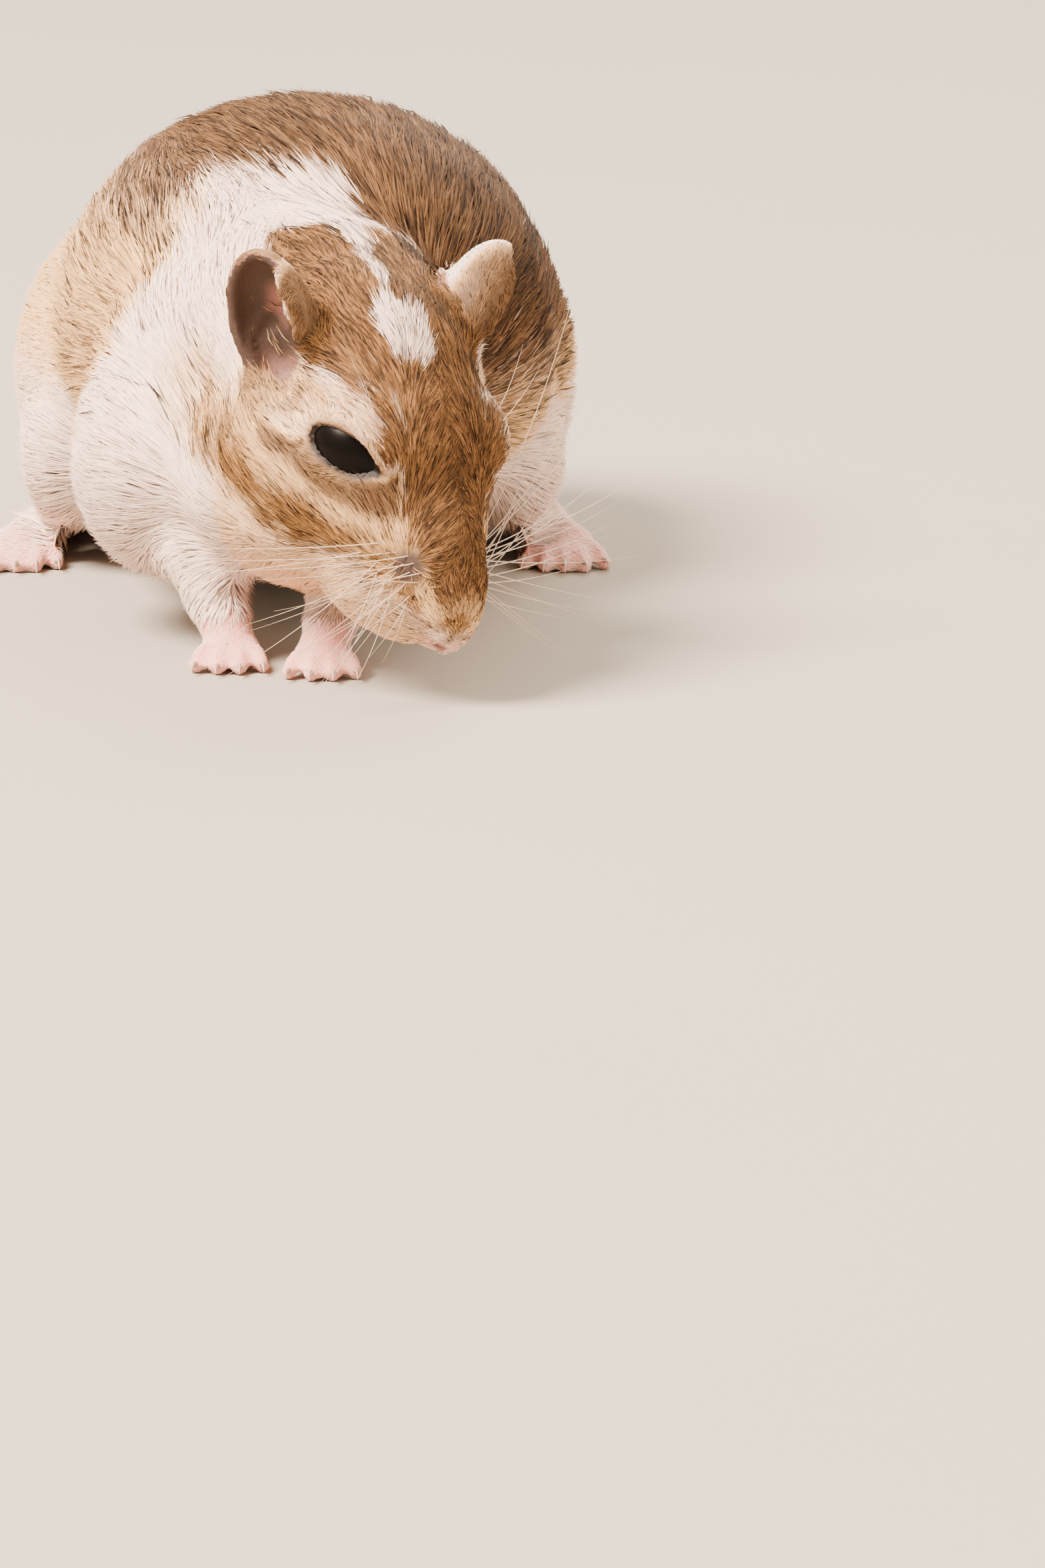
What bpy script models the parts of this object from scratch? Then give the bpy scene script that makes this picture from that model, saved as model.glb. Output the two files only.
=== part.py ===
"""A crouching Mongolian gerbil at life size, nose towards -Y and floor at z = 0.

The head is lowered and turned to the animal's left, the forepaws are together under
the chin, the hind feet lie flat and the tail trails behind. Sizes include the coat.
"""

import math

import bmesh
import bpy
from mathutils import Euler, Matrix, Vector

MM = 0.001
GAP = 0.3 * MM
SMALL_GAP = 0.15 * MM
RIGHT, LEFT = -1, 1
SIDE_NAMES = {RIGHT: "right", LEFT: "left"}

# The head's own axes: forward to the nose, left, and up to the crown.
# Its origin lies midway between the eyes.
HEAD_PLACE = Vector((6.8, -48.2, 19.1)) * MM
HEAD_TURN_LEFT = math.radians(34)
HEAD_NOD_DOWN = math.radians(35.5)
HEAD_LEAN_LEFT = math.radians(8.7)
HEAD_SIZE = 0.977

EYE_RADIUS = 3.9 * MM
EYE_FORWARD, EYE_OUT, EYE_UP = -0.7, 4.3, 0.1
EYE_LOOKS = (0.36, 0.87, 0.30)
EYE_SLIT_HALF_LENGTH = 3.7 * MM
EYE_SLIT_HALF_HEIGHT = 1.8 * MM
EYE_SLIT_RISE = 0.33
LID_THICKNESS = 0.75 * MM

EAR_HEIGHT, EAR_WIDTH, EAR_DEPTH, EAR_THICKNESS = 12.2, 7.4, 3.0, 0.8
EAR_PLACE = {RIGHT: (-8.7, -7.8, 0.3), LEFT: (-9.8, 9.1, 2.3)}
EAR_RISE = {RIGHT: (-0.63, -0.36, 0.69), LEFT: (-0.55, 0.50, 0.67)}
EAR_FACE = {RIGHT: (0.46, -0.89, -0.05), LEFT: (0.46, 0.89, -0.05)}

MIDDLE = -4.5
BACK_HEIGHT = 42.0
HIND_TOES_OUT, HIND_TOES_Y = 25.0, -0.5
HIND_FOOT_LENGTH = 25.0
TAIL_START_Y, TAIL_LENGTH = 34.0, 96.0
TAIL_RADII = (4.4, 3.4, 2.7, 2.4, 2.3, 2.3, 2.6, 2.7, 1.6)

# Elbow, wrist and palm of each forelimb.
RIGHT_FORELIMB = ((-13.4, -27.5, 12), (-9.6, -36.5, 6.5), (-8.0, -39.0, 1.8))
LEFT_FORELIMB = ((5.6, -28, 12), (0.8, -38.0, 6.5), (-0.2, -41.6, 1.8))
WRIST_HEIGHT, ANKLE_HEIGHT = 4.4, 4.6
FORE_CLAW, HIND_CLAW = 1.5, 1.9
CLAW_RADII = (0.3, 0.1)
EYE_RINGS = 11
NECK_JOINT = Vector((-12.5, 0, -2)) * MM
NECK_SLOPE = math.radians(-28)

BODY_VOXEL, BODY_SMOOTHING = 0.6, 10
FINE_VOXEL, FINE_SMOOTHING = 0.33, 3
BODY_TRIANGLES = 1650
EAR_TRIANGLES, TAIL_TRIANGLES = 260, 340
FORELIMB_TRIANGLES, HIND_LIMB_TRIANGLES = 520, 560


FINISHES = {
    "eye": ((0.02, 0.02, 0.02), 0.15),
    "ear": ((0.45, 0.33, 0.28), 0.8),
    "fore_claw": ((0.75, 0.62, 0.55), 0.5),
    "hind_claw": ((0.75, 0.62, 0.55), 0.5),
    "forepaw": ((0.85, 0.60, 0.54), 0.7),
    "hind_foot": ((0.85, 0.60, 0.54), 0.7),
    "chest": ((0.86, 0.80, 0.72), 0.9),
    "jaw": ((0.86, 0.80, 0.72), 0.9),
    "shoulder": ((0.86, 0.80, 0.72), 0.9),
    "fur": ((0.62, 0.44, 0.27), 0.9),
}


def head_matrix():
    """Turns the head's axes (forward, left, up) into the world's and moves them there."""
    axes = Matrix(((0, 1, 0), (-1, 0, 0), (0, 0, 1)))
    turn = Matrix.Rotation(HEAD_TURN_LEFT, 3, "Z")
    nod = Matrix.Rotation(HEAD_NOD_DOWN, 3, "X")
    lean = Matrix.Rotation(HEAD_LEAN_LEFT, 3, "Y")
    return Matrix.Translation(HEAD_PLACE) @ (turn @ nod @ lean @ axes * HEAD_SIZE).to_4x4()


HEAD = head_matrix()


def clear_scene():
    for obj in list(bpy.data.objects):
        bpy.data.objects.remove(obj, do_unlink=True)


def collection(name):
    made = bpy.data.collections.new(name)
    bpy.context.scene.collection.children.link(made)
    return made


def material(name, colour, roughness):
    made = bpy.data.materials.new(name)
    made.use_nodes = True
    made.diffuse_color = (*colour, 1)
    shader = made.node_tree.nodes["Principled BSDF"]
    shader.inputs["Base Color"].default_value = (*colour, 1)
    shader.inputs["Roughness"].default_value = roughness
    shader.inputs["Metallic"].default_value = 0
    return made


def add_object(name, mesh, group, finish=None):
    obj = bpy.data.objects.new(name, mesh)
    group.objects.link(obj)
    if finish:
        mesh.materials.clear()
        mesh.materials.append(finish)
    return obj


def add_lump(shape, place, half_sizes, turn=(0, 0, 0), frame=Matrix()):
    """Adds an ellipsoid, in millimetres and degrees, to a bmesh."""
    spin = Euler([math.radians(a) for a in turn]).to_matrix().to_4x4()
    size = Matrix.Diagonal((*(Vector(half_sizes) * MM), 1))
    matrix = frame @ Matrix.Translation(Vector(place) * MM) @ spin @ size
    bmesh.ops.create_uvsphere(shape, u_segments=28, v_segments=18, radius=1, matrix=matrix)


def add_pair(shape, place, half_sizes, turn=(0, 0, 0), frame=Matrix(), across=1):
    """Adds an ellipsoid and its mirror image. across is the axis that points to the side."""
    for side in (RIGHT, LEFT):
        spot, angles = list(place), list(turn)
        spot[across] *= side
        for axis in range(3):
            if axis != across:
                angles[axis] *= side
        add_lump(shape, spot, half_sizes, angles, frame)


def add_tube(shape, points, radii, frame=Matrix(), sides=4):
    """Adds a tapering round tube with closed ends along a smooth curve, in millimetres."""
    data = bpy.data.curves.new("tube", "CURVE")
    data.dimensions = "3D"
    data.bevel_depth = 1.0
    data.bevel_resolution = sides
    data.use_fill_caps = True
    data.resolution_u = 6
    line = data.splines.new("NURBS")
    line.points.add(len(points) - 1)
    line.order_u = 3
    line.use_endpoint_u = True
    for point, place, radius in zip(line.points, points, radii):
        point.co = (*(frame @ (Vector(place) * MM)), 1)
        point.radius = radius * MM
    guide = bpy.data.objects.new("tube", data)
    bpy.context.scene.collection.objects.link(guide)
    graph = bpy.context.evaluated_depsgraph_get()
    mesh = bpy.data.meshes.new_from_object(guide.evaluated_get(graph))
    bpy.data.objects.remove(guide)
    tube = bmesh.new()
    tube.from_mesh(mesh)
    bmesh.ops.remove_doubles(tube, verts=tube.verts, dist=0.001 * MM)
    bmesh.ops.recalc_face_normals(tube, faces=tube.faces)
    tube.to_mesh(mesh)
    tube.free()
    shape.from_mesh(mesh)
    bpy.data.meshes.remove(mesh)


def add_round_end(shape, place, radius, frame=Matrix()):
    add_lump(shape, place, (radius, radius, radius), frame=frame)


def evaluated_mesh(obj):
    graph = bpy.context.evaluated_depsgraph_get()
    return bpy.data.meshes.new_from_object(obj.evaluated_get(graph))


def with_modifiers(mesh, settings):
    """The mesh after a list of (modifier type, its values)."""
    obj = bpy.data.objects.new("work", mesh)
    bpy.context.scene.collection.objects.link(obj)
    for kind, values in settings:
        modifier = obj.modifiers.new(kind, kind)
        for key, value in values.items():
            setattr(modifier, key, value)
    made = evaluated_mesh(obj)
    bpy.data.objects.remove(obj)
    return made


def blended(shape, voxel, rounds, faces=None):
    """Joins the lumps of a bmesh in one smooth skin, thinned to about this many triangles."""
    mesh = bpy.data.meshes.new("lumps")
    shape.to_mesh(mesh)
    shape.free()
    skin = with_modifiers(
        mesh,
        [
            ("REMESH", {"mode": "VOXEL", "voxel_size": voxel * MM}),
            ("SMOOTH", {"factor": 0.5, "iterations": rounds}),
        ],
    )
    return thinned(skin, faces) if faces else skin


def thinned(mesh, faces):
    triangles = sum(len(p.vertices) - 2 for p in mesh.polygons)
    ratio = min(1.0, faces / triangles)
    return with_modifiers(mesh, [("DECIMATE", {"ratio": ratio, "use_collapse_triangulate": True})])


def tidied(mesh):
    """Fewer triangles where a cut has left many in nearly one plane, while it stays closed."""
    for weld, degrees in ((0.01, 4), (0.03, 4), (0.01, 1), (0.03, 1), (0.06, 2), (0.005, 0.2)):
        flat = {"decimate_type": "DISSOLVE", "angle_limit": math.radians(degrees)}
        settings = [
            ("WELD", {"merge_threshold": weld * MM}),
            ("DECIMATE", flat),
            ("TRIANGULATE", {}),
        ]
        fewer = with_modifiers(mesh, settings)
        if is_closed(fewer):
            return fewer
    return mesh


def is_closed(mesh):
    """Whether each edge joins two faces and no two corners share a place."""
    shape = bmesh.new()
    shape.from_mesh(mesh)
    closed = all(edge.is_manifold for edge in shape.edges)
    before = len(shape.verts)
    bmesh.ops.remove_doubles(shape, verts=shape.verts, dist=0.001 * MM)
    closed = closed and len(shape.verts) == before
    shape.free()
    return closed


def grown(mesh, distance):
    """A copy that is larger all round, for cutting neighbours back by a gap."""
    return with_modifiers(mesh, [("DISPLACE", {"strength": distance, "mid_level": 0.0})])


def combined(mesh, other, operation):
    cutter = bpy.data.objects.new("cutter", other)
    bpy.context.scene.collection.objects.link(cutter)
    made = with_modifiers(mesh, [("BOOLEAN", {"operation": operation, "object": cutter})])
    bpy.data.objects.remove(cutter)
    return largest_body(made)


def split(mesh, cutter, wider_cutter):
    """(the part inside the cutter, the rest a gap away from it)"""
    inside = combined(mesh.copy(), cutter, "INTERSECT")
    return inside, combined(mesh, wider_cutter, "DIFFERENCE")


def split_by_box(mesh, low, high, frame=Matrix()):
    return split(mesh, box_mesh(low, high, frame), box_mesh(low, high, frame, GAP))


def split_by_lump(mesh, place, half_sizes, turn=(0, 0, 0), frame=Matrix()):
    wider = [size + GAP / MM for size in half_sizes]
    return split(
        mesh, lump_mesh(place, half_sizes, turn, frame), lump_mesh(place, wider, turn, frame)
    )


def largest_body(mesh):
    """Keeps the biggest connected shell, and drops the crumbs that a cut can leave."""
    shape = bmesh.new()
    shape.from_mesh(mesh)
    unseen, shells = set(shape.verts), []
    while unseen:
        stack, shell = [unseen.pop()], set()
        while stack:
            vert = stack.pop()
            shell.add(vert)
            for edge in vert.link_edges:
                other = edge.other_vert(vert)
                if other in unseen:
                    unseen.discard(other)
                    stack.append(other)
        shells.append(shell)
    shells.sort(key=len, reverse=True)
    for shell in shells[1:]:
        bmesh.ops.delete(shape, geom=list(shell), context="VERTS")
    shape.to_mesh(mesh)
    shape.free()
    return mesh


def box_mesh(low, high, frame=Matrix(), spread=0.0):
    """A box between two corners, in millimetres, made wider all round by spread metres."""
    low, high = Vector(low) * MM, Vector(high) * MM
    size = high - low + Vector((2, 2, 2)) * spread
    shape = bmesh.new()
    matrix = frame @ Matrix.Translation((low + high) / 2) @ Matrix.Diagonal((*size, 1))
    bmesh.ops.create_cube(shape, size=1, matrix=matrix)
    mesh = bpy.data.meshes.new("box")
    shape.to_mesh(mesh)
    shape.free()
    return mesh


def lump_mesh(place, half_sizes, turn, frame):
    shape = bmesh.new()
    spin = Euler([math.radians(a) for a in turn]).to_matrix().to_4x4()
    size = Matrix.Diagonal((*(Vector(half_sizes) * MM), 1))
    matrix = frame @ Matrix.Translation(Vector(place) * MM) @ spin @ size
    bmesh.ops.create_uvsphere(shape, u_segments=12, v_segments=8, radius=1, matrix=matrix)
    mesh = bpy.data.meshes.new("lump")
    shape.to_mesh(mesh)
    shape.free()
    return mesh


def standing(mesh):
    """Cuts off what lies below the floor, which leaves small flats to rest on."""
    shape = bmesh.new()
    shape.from_mesh(mesh)
    everything = shape.verts[:] + shape.edges[:] + shape.faces[:]
    cut = bmesh.ops.bisect_plane(
        shape, geom=everything, dist=1e-7, plane_co=(0, 0, 0), plane_no=(0, 0, 1), clear_inner=True
    )
    edges = [e for e in cut["geom_cut"] if isinstance(e, bmesh.types.BMEdge)]
    bmesh.ops.holes_fill(shape, edges=edges, sides=0)
    bmesh.ops.triangulate(shape, faces=shape.faces)
    bmesh.ops.recalc_face_normals(shape, faces=shape.faces)
    shape.to_mesh(mesh)
    shape.free()
    return mesh


def eye_matrix(side):
    """The eye's own axes: z looks out of the head, x runs along the slit."""
    place = Vector((EYE_FORWARD, side * EYE_OUT, EYE_UP)) * MM
    outward = Vector((EYE_LOOKS[0], side * EYE_LOOKS[1], EYE_LOOKS[2])).normalized()
    along = Vector((1, 0, EYE_SLIT_RISE))
    along = (along - outward * along.dot(outward)).normalized()
    across = outward.cross(along)
    turn = Matrix((along, across, outward)).transposed().to_4x4()
    return HEAD @ Matrix.Translation(place) @ turn


def ball(frame, radius, rings):
    shape = bmesh.new()
    bmesh.ops.create_uvsphere(
        shape, u_segments=2 * rings - 8, v_segments=rings, radius=radius, matrix=frame
    )
    mesh = bpy.data.meshes.new("ball")
    shape.to_mesh(mesh)
    shape.free()
    return mesh


def slit_cutter(side):
    """A long almond prism that opens the lids over the eye."""
    steps = 10
    shape = bmesh.new()
    outline = []
    for half in (1, -1):
        for i in range(steps):
            t = -1 + 2 * i / steps
            height = EYE_SLIT_HALF_HEIGHT * (1 - t * t) ** 0.75
            outline.append((half * t * EYE_SLIT_HALF_LENGTH, -half * height))
    bottom = [shape.verts.new((x, y, 0.3 * EYE_RADIUS)) for x, y in outline]
    face = shape.faces.new(bottom)
    raised = bmesh.ops.extrude_face_region(shape, geom=[face])["geom"]
    top = [v for v in raised if isinstance(v, bmesh.types.BMVert)]
    bmesh.ops.translate(shape, verts=top, vec=(0, 0, 2 * EYE_RADIUS))
    bmesh.ops.recalc_face_normals(shape, faces=shape.faces)
    bmesh.ops.transform(shape, matrix=eye_matrix(side), verts=shape.verts)
    mesh = bpy.data.meshes.new("slit")
    shape.to_mesh(mesh)
    shape.free()
    return mesh


def add_head_lumps(shape):
    """Cranium, muzzle, pads, cheeks, jaw and brows, in the head's own axes."""
    def one(*size_and_place):
        add_lump(shape, *size_and_place, frame=HEAD)

    def two(*size_and_place):
        add_pair(shape, *size_and_place, frame=HEAD)

    one((-9.0, 0, 0.4), (12.8, 9.6, 9.2))
    one((-1.5, 0, 0.3), (9.0, 8.2, 7.6), (0, 16, 0))
    one((7.4, 0, -2.9), (9.6, 4.6, 5.2), (0, 30, 0))
    one((13.4, 0, -6.5), (2.9, 2.3, 2.3), (0, 25, 0))
    one((1.0, 0, -7.4), (10.5, 6.6, 5.6), (0, 8, 0))
    one((7.8, 0, -9.6), (4.8, 3.2, 2.4), (0, 4, 0))
    two((9.4, 2.7, -6.2), (4.5, 2.9, 3.3), (0, 16, -14))
    two((4.6, 3.4, -8.4), (7.0, 3.6, 3.4), (0, 10, -10))
    two((-5.5, 5.4, -6.0), (9.8, 6.2, 7.4), (0, 12, 6))
    two((0.2, 5.6, 2.9), (5.0, 3.3, 3.3), (0, 14, -6))
    two((3.6, 4.8, -3.8), (6.4, 3.4, 3.8), (0, 24, -14))
    for side in (RIGHT, LEFT):
        add_round_end(shape, (0, 0, 0), (EYE_RADIUS + LID_THICKNESS) / MM, eye_matrix(side))


def add_trunk_lumps(shape):
    """Neck, chest, shoulders, back, belly and haunches, in world axes."""
    add_tube(
        shape,
        [(4.0, -42, 23.0), (2.0, -34, 25.0), (-1.4, -26, 24.4), (-3.5, -16, 22.5)],
        [9.6, 11.4, 12.8, 13.4],
    )
    add_lump(shape, (-2.4, -37, 15.5), (10.0, 10.5, 9.5), (18, 0, 0))
    add_lump(shape, (MIDDLE, -18, 18.6), (17.4, 16.5, 15.0))
    add_lump(shape, (MIDDLE - 9.4, -24, 14.6), (8.8, 12.5, 11.0), (0, 0, 8))
    add_lump(shape, (MIDDLE + 9.0, -23, 14.6), (8.6, 12.0, 11.0), (0, 0, -8))
    add_lump(shape, (MIDDLE + 1.6, 0, BACK_HEIGHT - 20.4), (22.6, 25.0, 20.4))
    add_lump(shape, (MIDDLE + 1.0, 17, BACK_HEIGHT - 21.6), (23.6, 22.0, 21.0))
    add_lump(shape, (MIDDLE + 1.2, 8, BACK_HEIGHT - 21.0), (23.2, 22.0, 21.2))
    add_lump(shape, (MIDDLE, -4, 10.2), (17.5, 28.0, 9.0))
    for side in (RIGHT, LEFT):
        add_lump(shape, (MIDDLE + side * 15.6, 16, 15.6), (10.6, 18.0, 14.0), (14, 0, side * -5))
        add_lump(shape, (MIDDLE + side * 19.6, 5.0, 10.2), (5.6, 8.8, 8.0), (20, 0, 0))


def claw(base, direction, length):
    """A small cone that points forward and a little down."""
    along = Vector(direction).normalized()
    middle = (Vector(base) + along * length / 2) * MM
    shape = bmesh.new()
    bmesh.ops.create_cone(
        shape,
        cap_ends=True,
        segments=6,
        radius1=CLAW_RADII[0] * MM,
        radius2=CLAW_RADII[1] * MM,
        depth=length * MM,
        matrix=Matrix.Translation(middle) @ along.to_track_quat("Z", "Y").to_matrix().to_4x4(),
    )
    bmesh.ops.recalc_face_normals(shape, faces=shape.faces)
    mesh = bpy.data.meshes.new("claw")
    shape.to_mesh(mesh)
    shape.free()
    return mesh


def forelimb(elbow, wrist, palm):
    """(forearm, forepaw, claws) with four spread fingers on the floor."""
    shape = bmesh.new()
    add_tube(shape, [elbow, wrist, palm], [5.0, 2.7, 1.9])
    add_lump(shape, (palm[0], palm[1] - 0.5, 1.2), (2.5, 2.4, 1.7))
    claws = []
    for finger in range(4):
        spread = finger - 1.5
        root = (palm[0] + spread * 1.15, palm[1] - 1.4, 1.3)
        knuckle = (palm[0] + spread * 1.6, palm[1] - 3.3 + abs(spread) * 0.5, 1.6)
        tip = (palm[0] + spread * 1.85, palm[1] - 5.1 + abs(spread) * 0.8, 0.6)
        add_tube(shape, [root, knuckle, tip], [0.8, 0.68, 0.6], sides=3)
        add_round_end(shape, tip, 0.7)
        claws.append(claw((tip[0], tip[1] - 0.35, 0.8), (spread * 0.1, -1, -0.25), FORE_CLAW))
    limb = standing(blended(shape, FINE_VOXEL, FINE_SMOOTHING, FORELIMB_TRIANGLES))
    for each in claws:
        limb = combined(limb, grown(each, SMALL_GAP), "DIFFERENCE")
    low = (palm[0] - 8, palm[1] - 12, -1)
    high = (palm[0] + 8, palm[1] + 8, WRIST_HEIGHT)
    paw, forearm = split_by_box(limb, low, high)
    return forearm, paw, claws


def hind_limb(side):
    """(lower leg, foot, claws): a long flat foot with five toes, heel behind."""
    x = MIDDLE + side * HIND_TOES_OUT
    heel_y = HIND_TOES_Y + HIND_FOOT_LENGTH
    shape = bmesh.new()
    heel = (x - side * 4.0, heel_y, 1.7)
    ball_of_foot = (x - side * 0.6, HIND_TOES_Y + 6.5, 1.5)
    add_tube(shape, [heel, ball_of_foot], [2.3, 2.1])
    add_round_end(shape, heel, 2.4)
    add_lump(shape, (x - side * 0.6, HIND_TOES_Y + 7.0, 1.3), (3.0, 3.0, 1.9))
    knee = (x - side * 5.5, 4, 10)
    add_tube(shape, [(heel[0], heel_y, 3.0), (x - side * 4.4, 16, 7.5), knee], [2.8, 4.0, 4.8])
    claws = []
    for toe in range(5):
        spread = (toe - 2) * side
        outer = toe in (0, 4)
        root = (x + spread * 1.05 - side * 0.6, HIND_TOES_Y + 6.0, 1.3)
        knuckle = (x + spread * 1.55 - side * 0.6, HIND_TOES_Y + (3.5 if outer else 2.6), 1.7)
        tip = (x + spread * 1.8 - side * 0.4, HIND_TOES_Y + (1.7 if outer else 0.4), 0.6)
        add_tube(shape, [root, knuckle, tip], [0.85, 0.72, 0.64], sides=3)
        add_round_end(shape, tip, 0.74)
        claws.append(claw((tip[0], tip[1] - 0.35, 0.9), (spread * 0.1, -1, -0.25), HIND_CLAW))
    limb = standing(blended(shape, FINE_VOXEL, FINE_SMOOTHING, HIND_LIMB_TRIANGLES))
    for each in claws:
        limb = combined(limb, grown(each, SMALL_GAP), "DIFFERENCE")
    foot, shin = split_by_box(limb, (x - 15, -10, -1), (x + 15, heel_y + 10, ANKLE_HEIGHT))
    return shin, foot, claws


def tail_points():
    """The tail's line on the floor, as a gentle S."""
    points = []
    last = len(TAIL_RADII) - 1
    for i, radius in enumerate(TAIL_RADII):
        t = i / last
        bend = 9 * math.sin(t * math.pi * 1.25)
        drop = 2.6 * (1 - t) ** 6
        points.append((MIDDLE - bend, TAIL_START_Y + t * TAIL_LENGTH, radius - 0.4 + drop))
    return points


def ear_matrix(side):
    """The ear's own axes: z from its base to its tip, y out of the cup."""
    rise = Vector(EAR_RISE[side]).normalized()
    facing = Vector(EAR_FACE[side])
    facing = (facing - rise * facing.dot(rise)).normalized()
    turn = Matrix((facing.cross(rise), facing, rise)).transposed().to_4x4()
    place = Vector(EAR_PLACE[side]) * MM
    return HEAD @ Matrix.Translation(place) @ turn


def ear(side):
    """A cupped shell, made from a squashed ball with its front cut away."""
    cup = bmesh.new()
    bmesh.ops.create_uvsphere(cup, u_segments=28, v_segments=20, radius=1)
    everything = cup.verts[:] + cup.edges[:] + cup.faces[:]
    bmesh.ops.bisect_plane(
        cup, geom=everything, plane_co=(0, 0.15, 0), plane_no=(0, 1, 0.1), clear_outer=True
    )
    size = Matrix.Diagonal((EAR_WIDTH / 2 * MM, EAR_DEPTH * MM, EAR_HEIGHT / 2 * MM, 1))
    rise = Matrix.Translation((0, 0, EAR_HEIGHT * 0.40 * MM))
    bmesh.ops.transform(cup, matrix=ear_matrix(side) @ rise @ size, verts=cup.verts)
    mesh = bpy.data.meshes.new("ear")
    cup.to_mesh(mesh)
    cup.free()
    thick = with_modifiers(mesh, [("SOLIDIFY", {"thickness": EAR_THICKNESS * MM, "offset": 0.0})])
    return thinned(thick, EAR_TRIANGLES)


def tail():
    """The whole tail lying on the floor, with its tuft."""
    shape = bmesh.new()
    points = tail_points()
    add_tube(shape, points, TAIL_RADII, sides=5)
    add_round_end(shape, points[-1], TAIL_RADII[-1])
    add_round_end(shape, points[0], TAIL_RADII[0])
    return standing(blended(shape, FINE_VOXEL, FINE_SMOOTHING, TAIL_TRIANGLES))


def build_pieces():
    """Every named piece as its own mesh."""
    pieces = {}
    shape = bmesh.new()
    add_trunk_lumps(shape)
    add_head_lumps(shape)
    body = standing(blended(shape, BODY_VOXEL, BODY_SMOOTHING, BODY_TRIANGLES))

    keep_out = grown(body, GAP)

    limbs = {RIGHT: RIGHT_FORELIMB, LEFT: LEFT_FORELIMB}
    for side, name in SIDE_NAMES.items():
        forearm, forepaw, fore_claws = forelimb(*limbs[side])
        shin, foot, hind_claws = hind_limb(side)
        pieces["forepaw_" + name] = forepaw
        pieces["hind_foot_" + name] = combined(foot, keep_out.copy(), "DIFFERENCE")
        pieces["forearm_" + name] = combined(forearm, keep_out.copy(), "DIFFERENCE")
        pieces["shin_" + name] = combined(shin, keep_out.copy(), "DIFFERENCE")
        pieces["ear_" + name] = combined(ear(side), keep_out.copy(), "DIFFERENCE")
        for count, each in enumerate(fore_claws, 1):
            pieces[f"fore_claw_{name}_{count}"] = each
        for count, each in enumerate(hind_claws, 1):
            pieces[f"hind_claw_{name}_{count}"] = each
        socket = ball(eye_matrix(side), EYE_RADIUS + SMALL_GAP, EYE_RINGS)
        body = combined(body, slit_cutter(side), "DIFFERENCE")
        body = combined(body, socket, "DIFFERENCE")
        pieces["eye_" + name] = ball(eye_matrix(side), EYE_RADIUS, EYE_RINGS)

    whole_tail = combined(tail(), keep_out, "DIFFERENCE")
    first, second = (TAIL_START_Y + TAIL_LENGTH * part for part in (0.36, 0.68))
    near = (MIDDLE - 30, TAIL_START_Y - 12, -5)
    pieces["tail_base"], rest = split_by_box(whole_tail, near, (MIDDLE + 30, first, 15))
    pieces["tail_middle"], pieces["tail_tip"] = split_by_box(rest, near, (MIDDLE + 30, second, 15))

    neck_plane = HEAD @ Matrix.Translation(NECK_JOINT) @ Matrix.Rotation(NECK_SLOPE, 4, "Y")
    head, trunk = split_by_box(body, (0, -18, -26), (60, 18, 26), neck_plane)
    pieces["nose"], head = split_by_lump(head, (14.8, 0, -6.2), (2.8, 2.2, 1.9), (0, 0, 0), HEAD)
    jaw_plane = HEAD @ Matrix.Translation(Vector((0, 0, -9.3)) * MM)
    pieces["jaw"], pieces["head"] = split_by_box(head, (-3.3, -14, -20), (30, 14, 0), jaw_plane)

    for side, name in SIDE_NAMES.items():
        thigh = (MIDDLE + side * 19.5, 15, 14.5)
        pieces["thigh_" + name], trunk = split_by_lump(trunk, thigh, (10.5, 18.5, 14.5), (14, 0, 0))
        shoulder = (MIDDLE + side * 14.5, -25, 14)
        pieces["shoulder_" + name], trunk = split_by_lump(trunk, shoulder, (8, 10.5, 10.5))

    pieces["rump"], trunk = split_by_box(trunk, (-50, 15, -5), (50, 80, 60))
    pieces["back"], trunk = split_by_box(trunk, (-50, -10, -5), (50, 30, 60))
    neck_low = (0, -30, -30)
    second_plane = neck_plane @ Matrix.Translation(Vector((-9, 0, 0)) * MM)
    pieces["neck"], pieces["chest"] = split_by_box(trunk, neck_low, (60, 30, 30), second_plane)
    return pieces


def centre(pieces):
    """Puts the middle of the footprint on the origin."""
    corners = [vert.co for mesh in pieces.values() for vert in mesh.vertices]
    shift = Matrix.Translation(
        [-(min(c[axis] for c in corners) + max(c[axis] for c in corners)) / 2 for axis in (0, 1)]
        + [-min(c[2] for c in corners)]
    )
    for mesh in pieces.values():
        mesh.transform(shift)


def finish_for(name):
    """(colour, roughness) of the piece's plain CAD finish."""
    for start, look in FINISHES.items():
        if name.startswith(start):
            return look
    return FINISHES["fur"]


def main():
    clear_scene()
    group = collection("gerbil")
    pieces = build_pieces()
    centre(pieces)
    for name, mesh in pieces.items():
        add_object(name, tidied(mesh), group, material(name, *finish_for(name)))


main()
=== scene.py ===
"""Looks for the crouching gerbil: one skin, eyes, lids, claws, whiskers and a coat of solid tufts.

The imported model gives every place. Sizes in the tables are real millimetres, and a mesh is in metres.
"""

import heapq
import math

import bmesh
import bpy
import numpy as np
from mathutils import Matrix, Vector, noise
from mathutils.bvhtree import BVHTree
from mathutils.kdtree import KDTree


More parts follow.
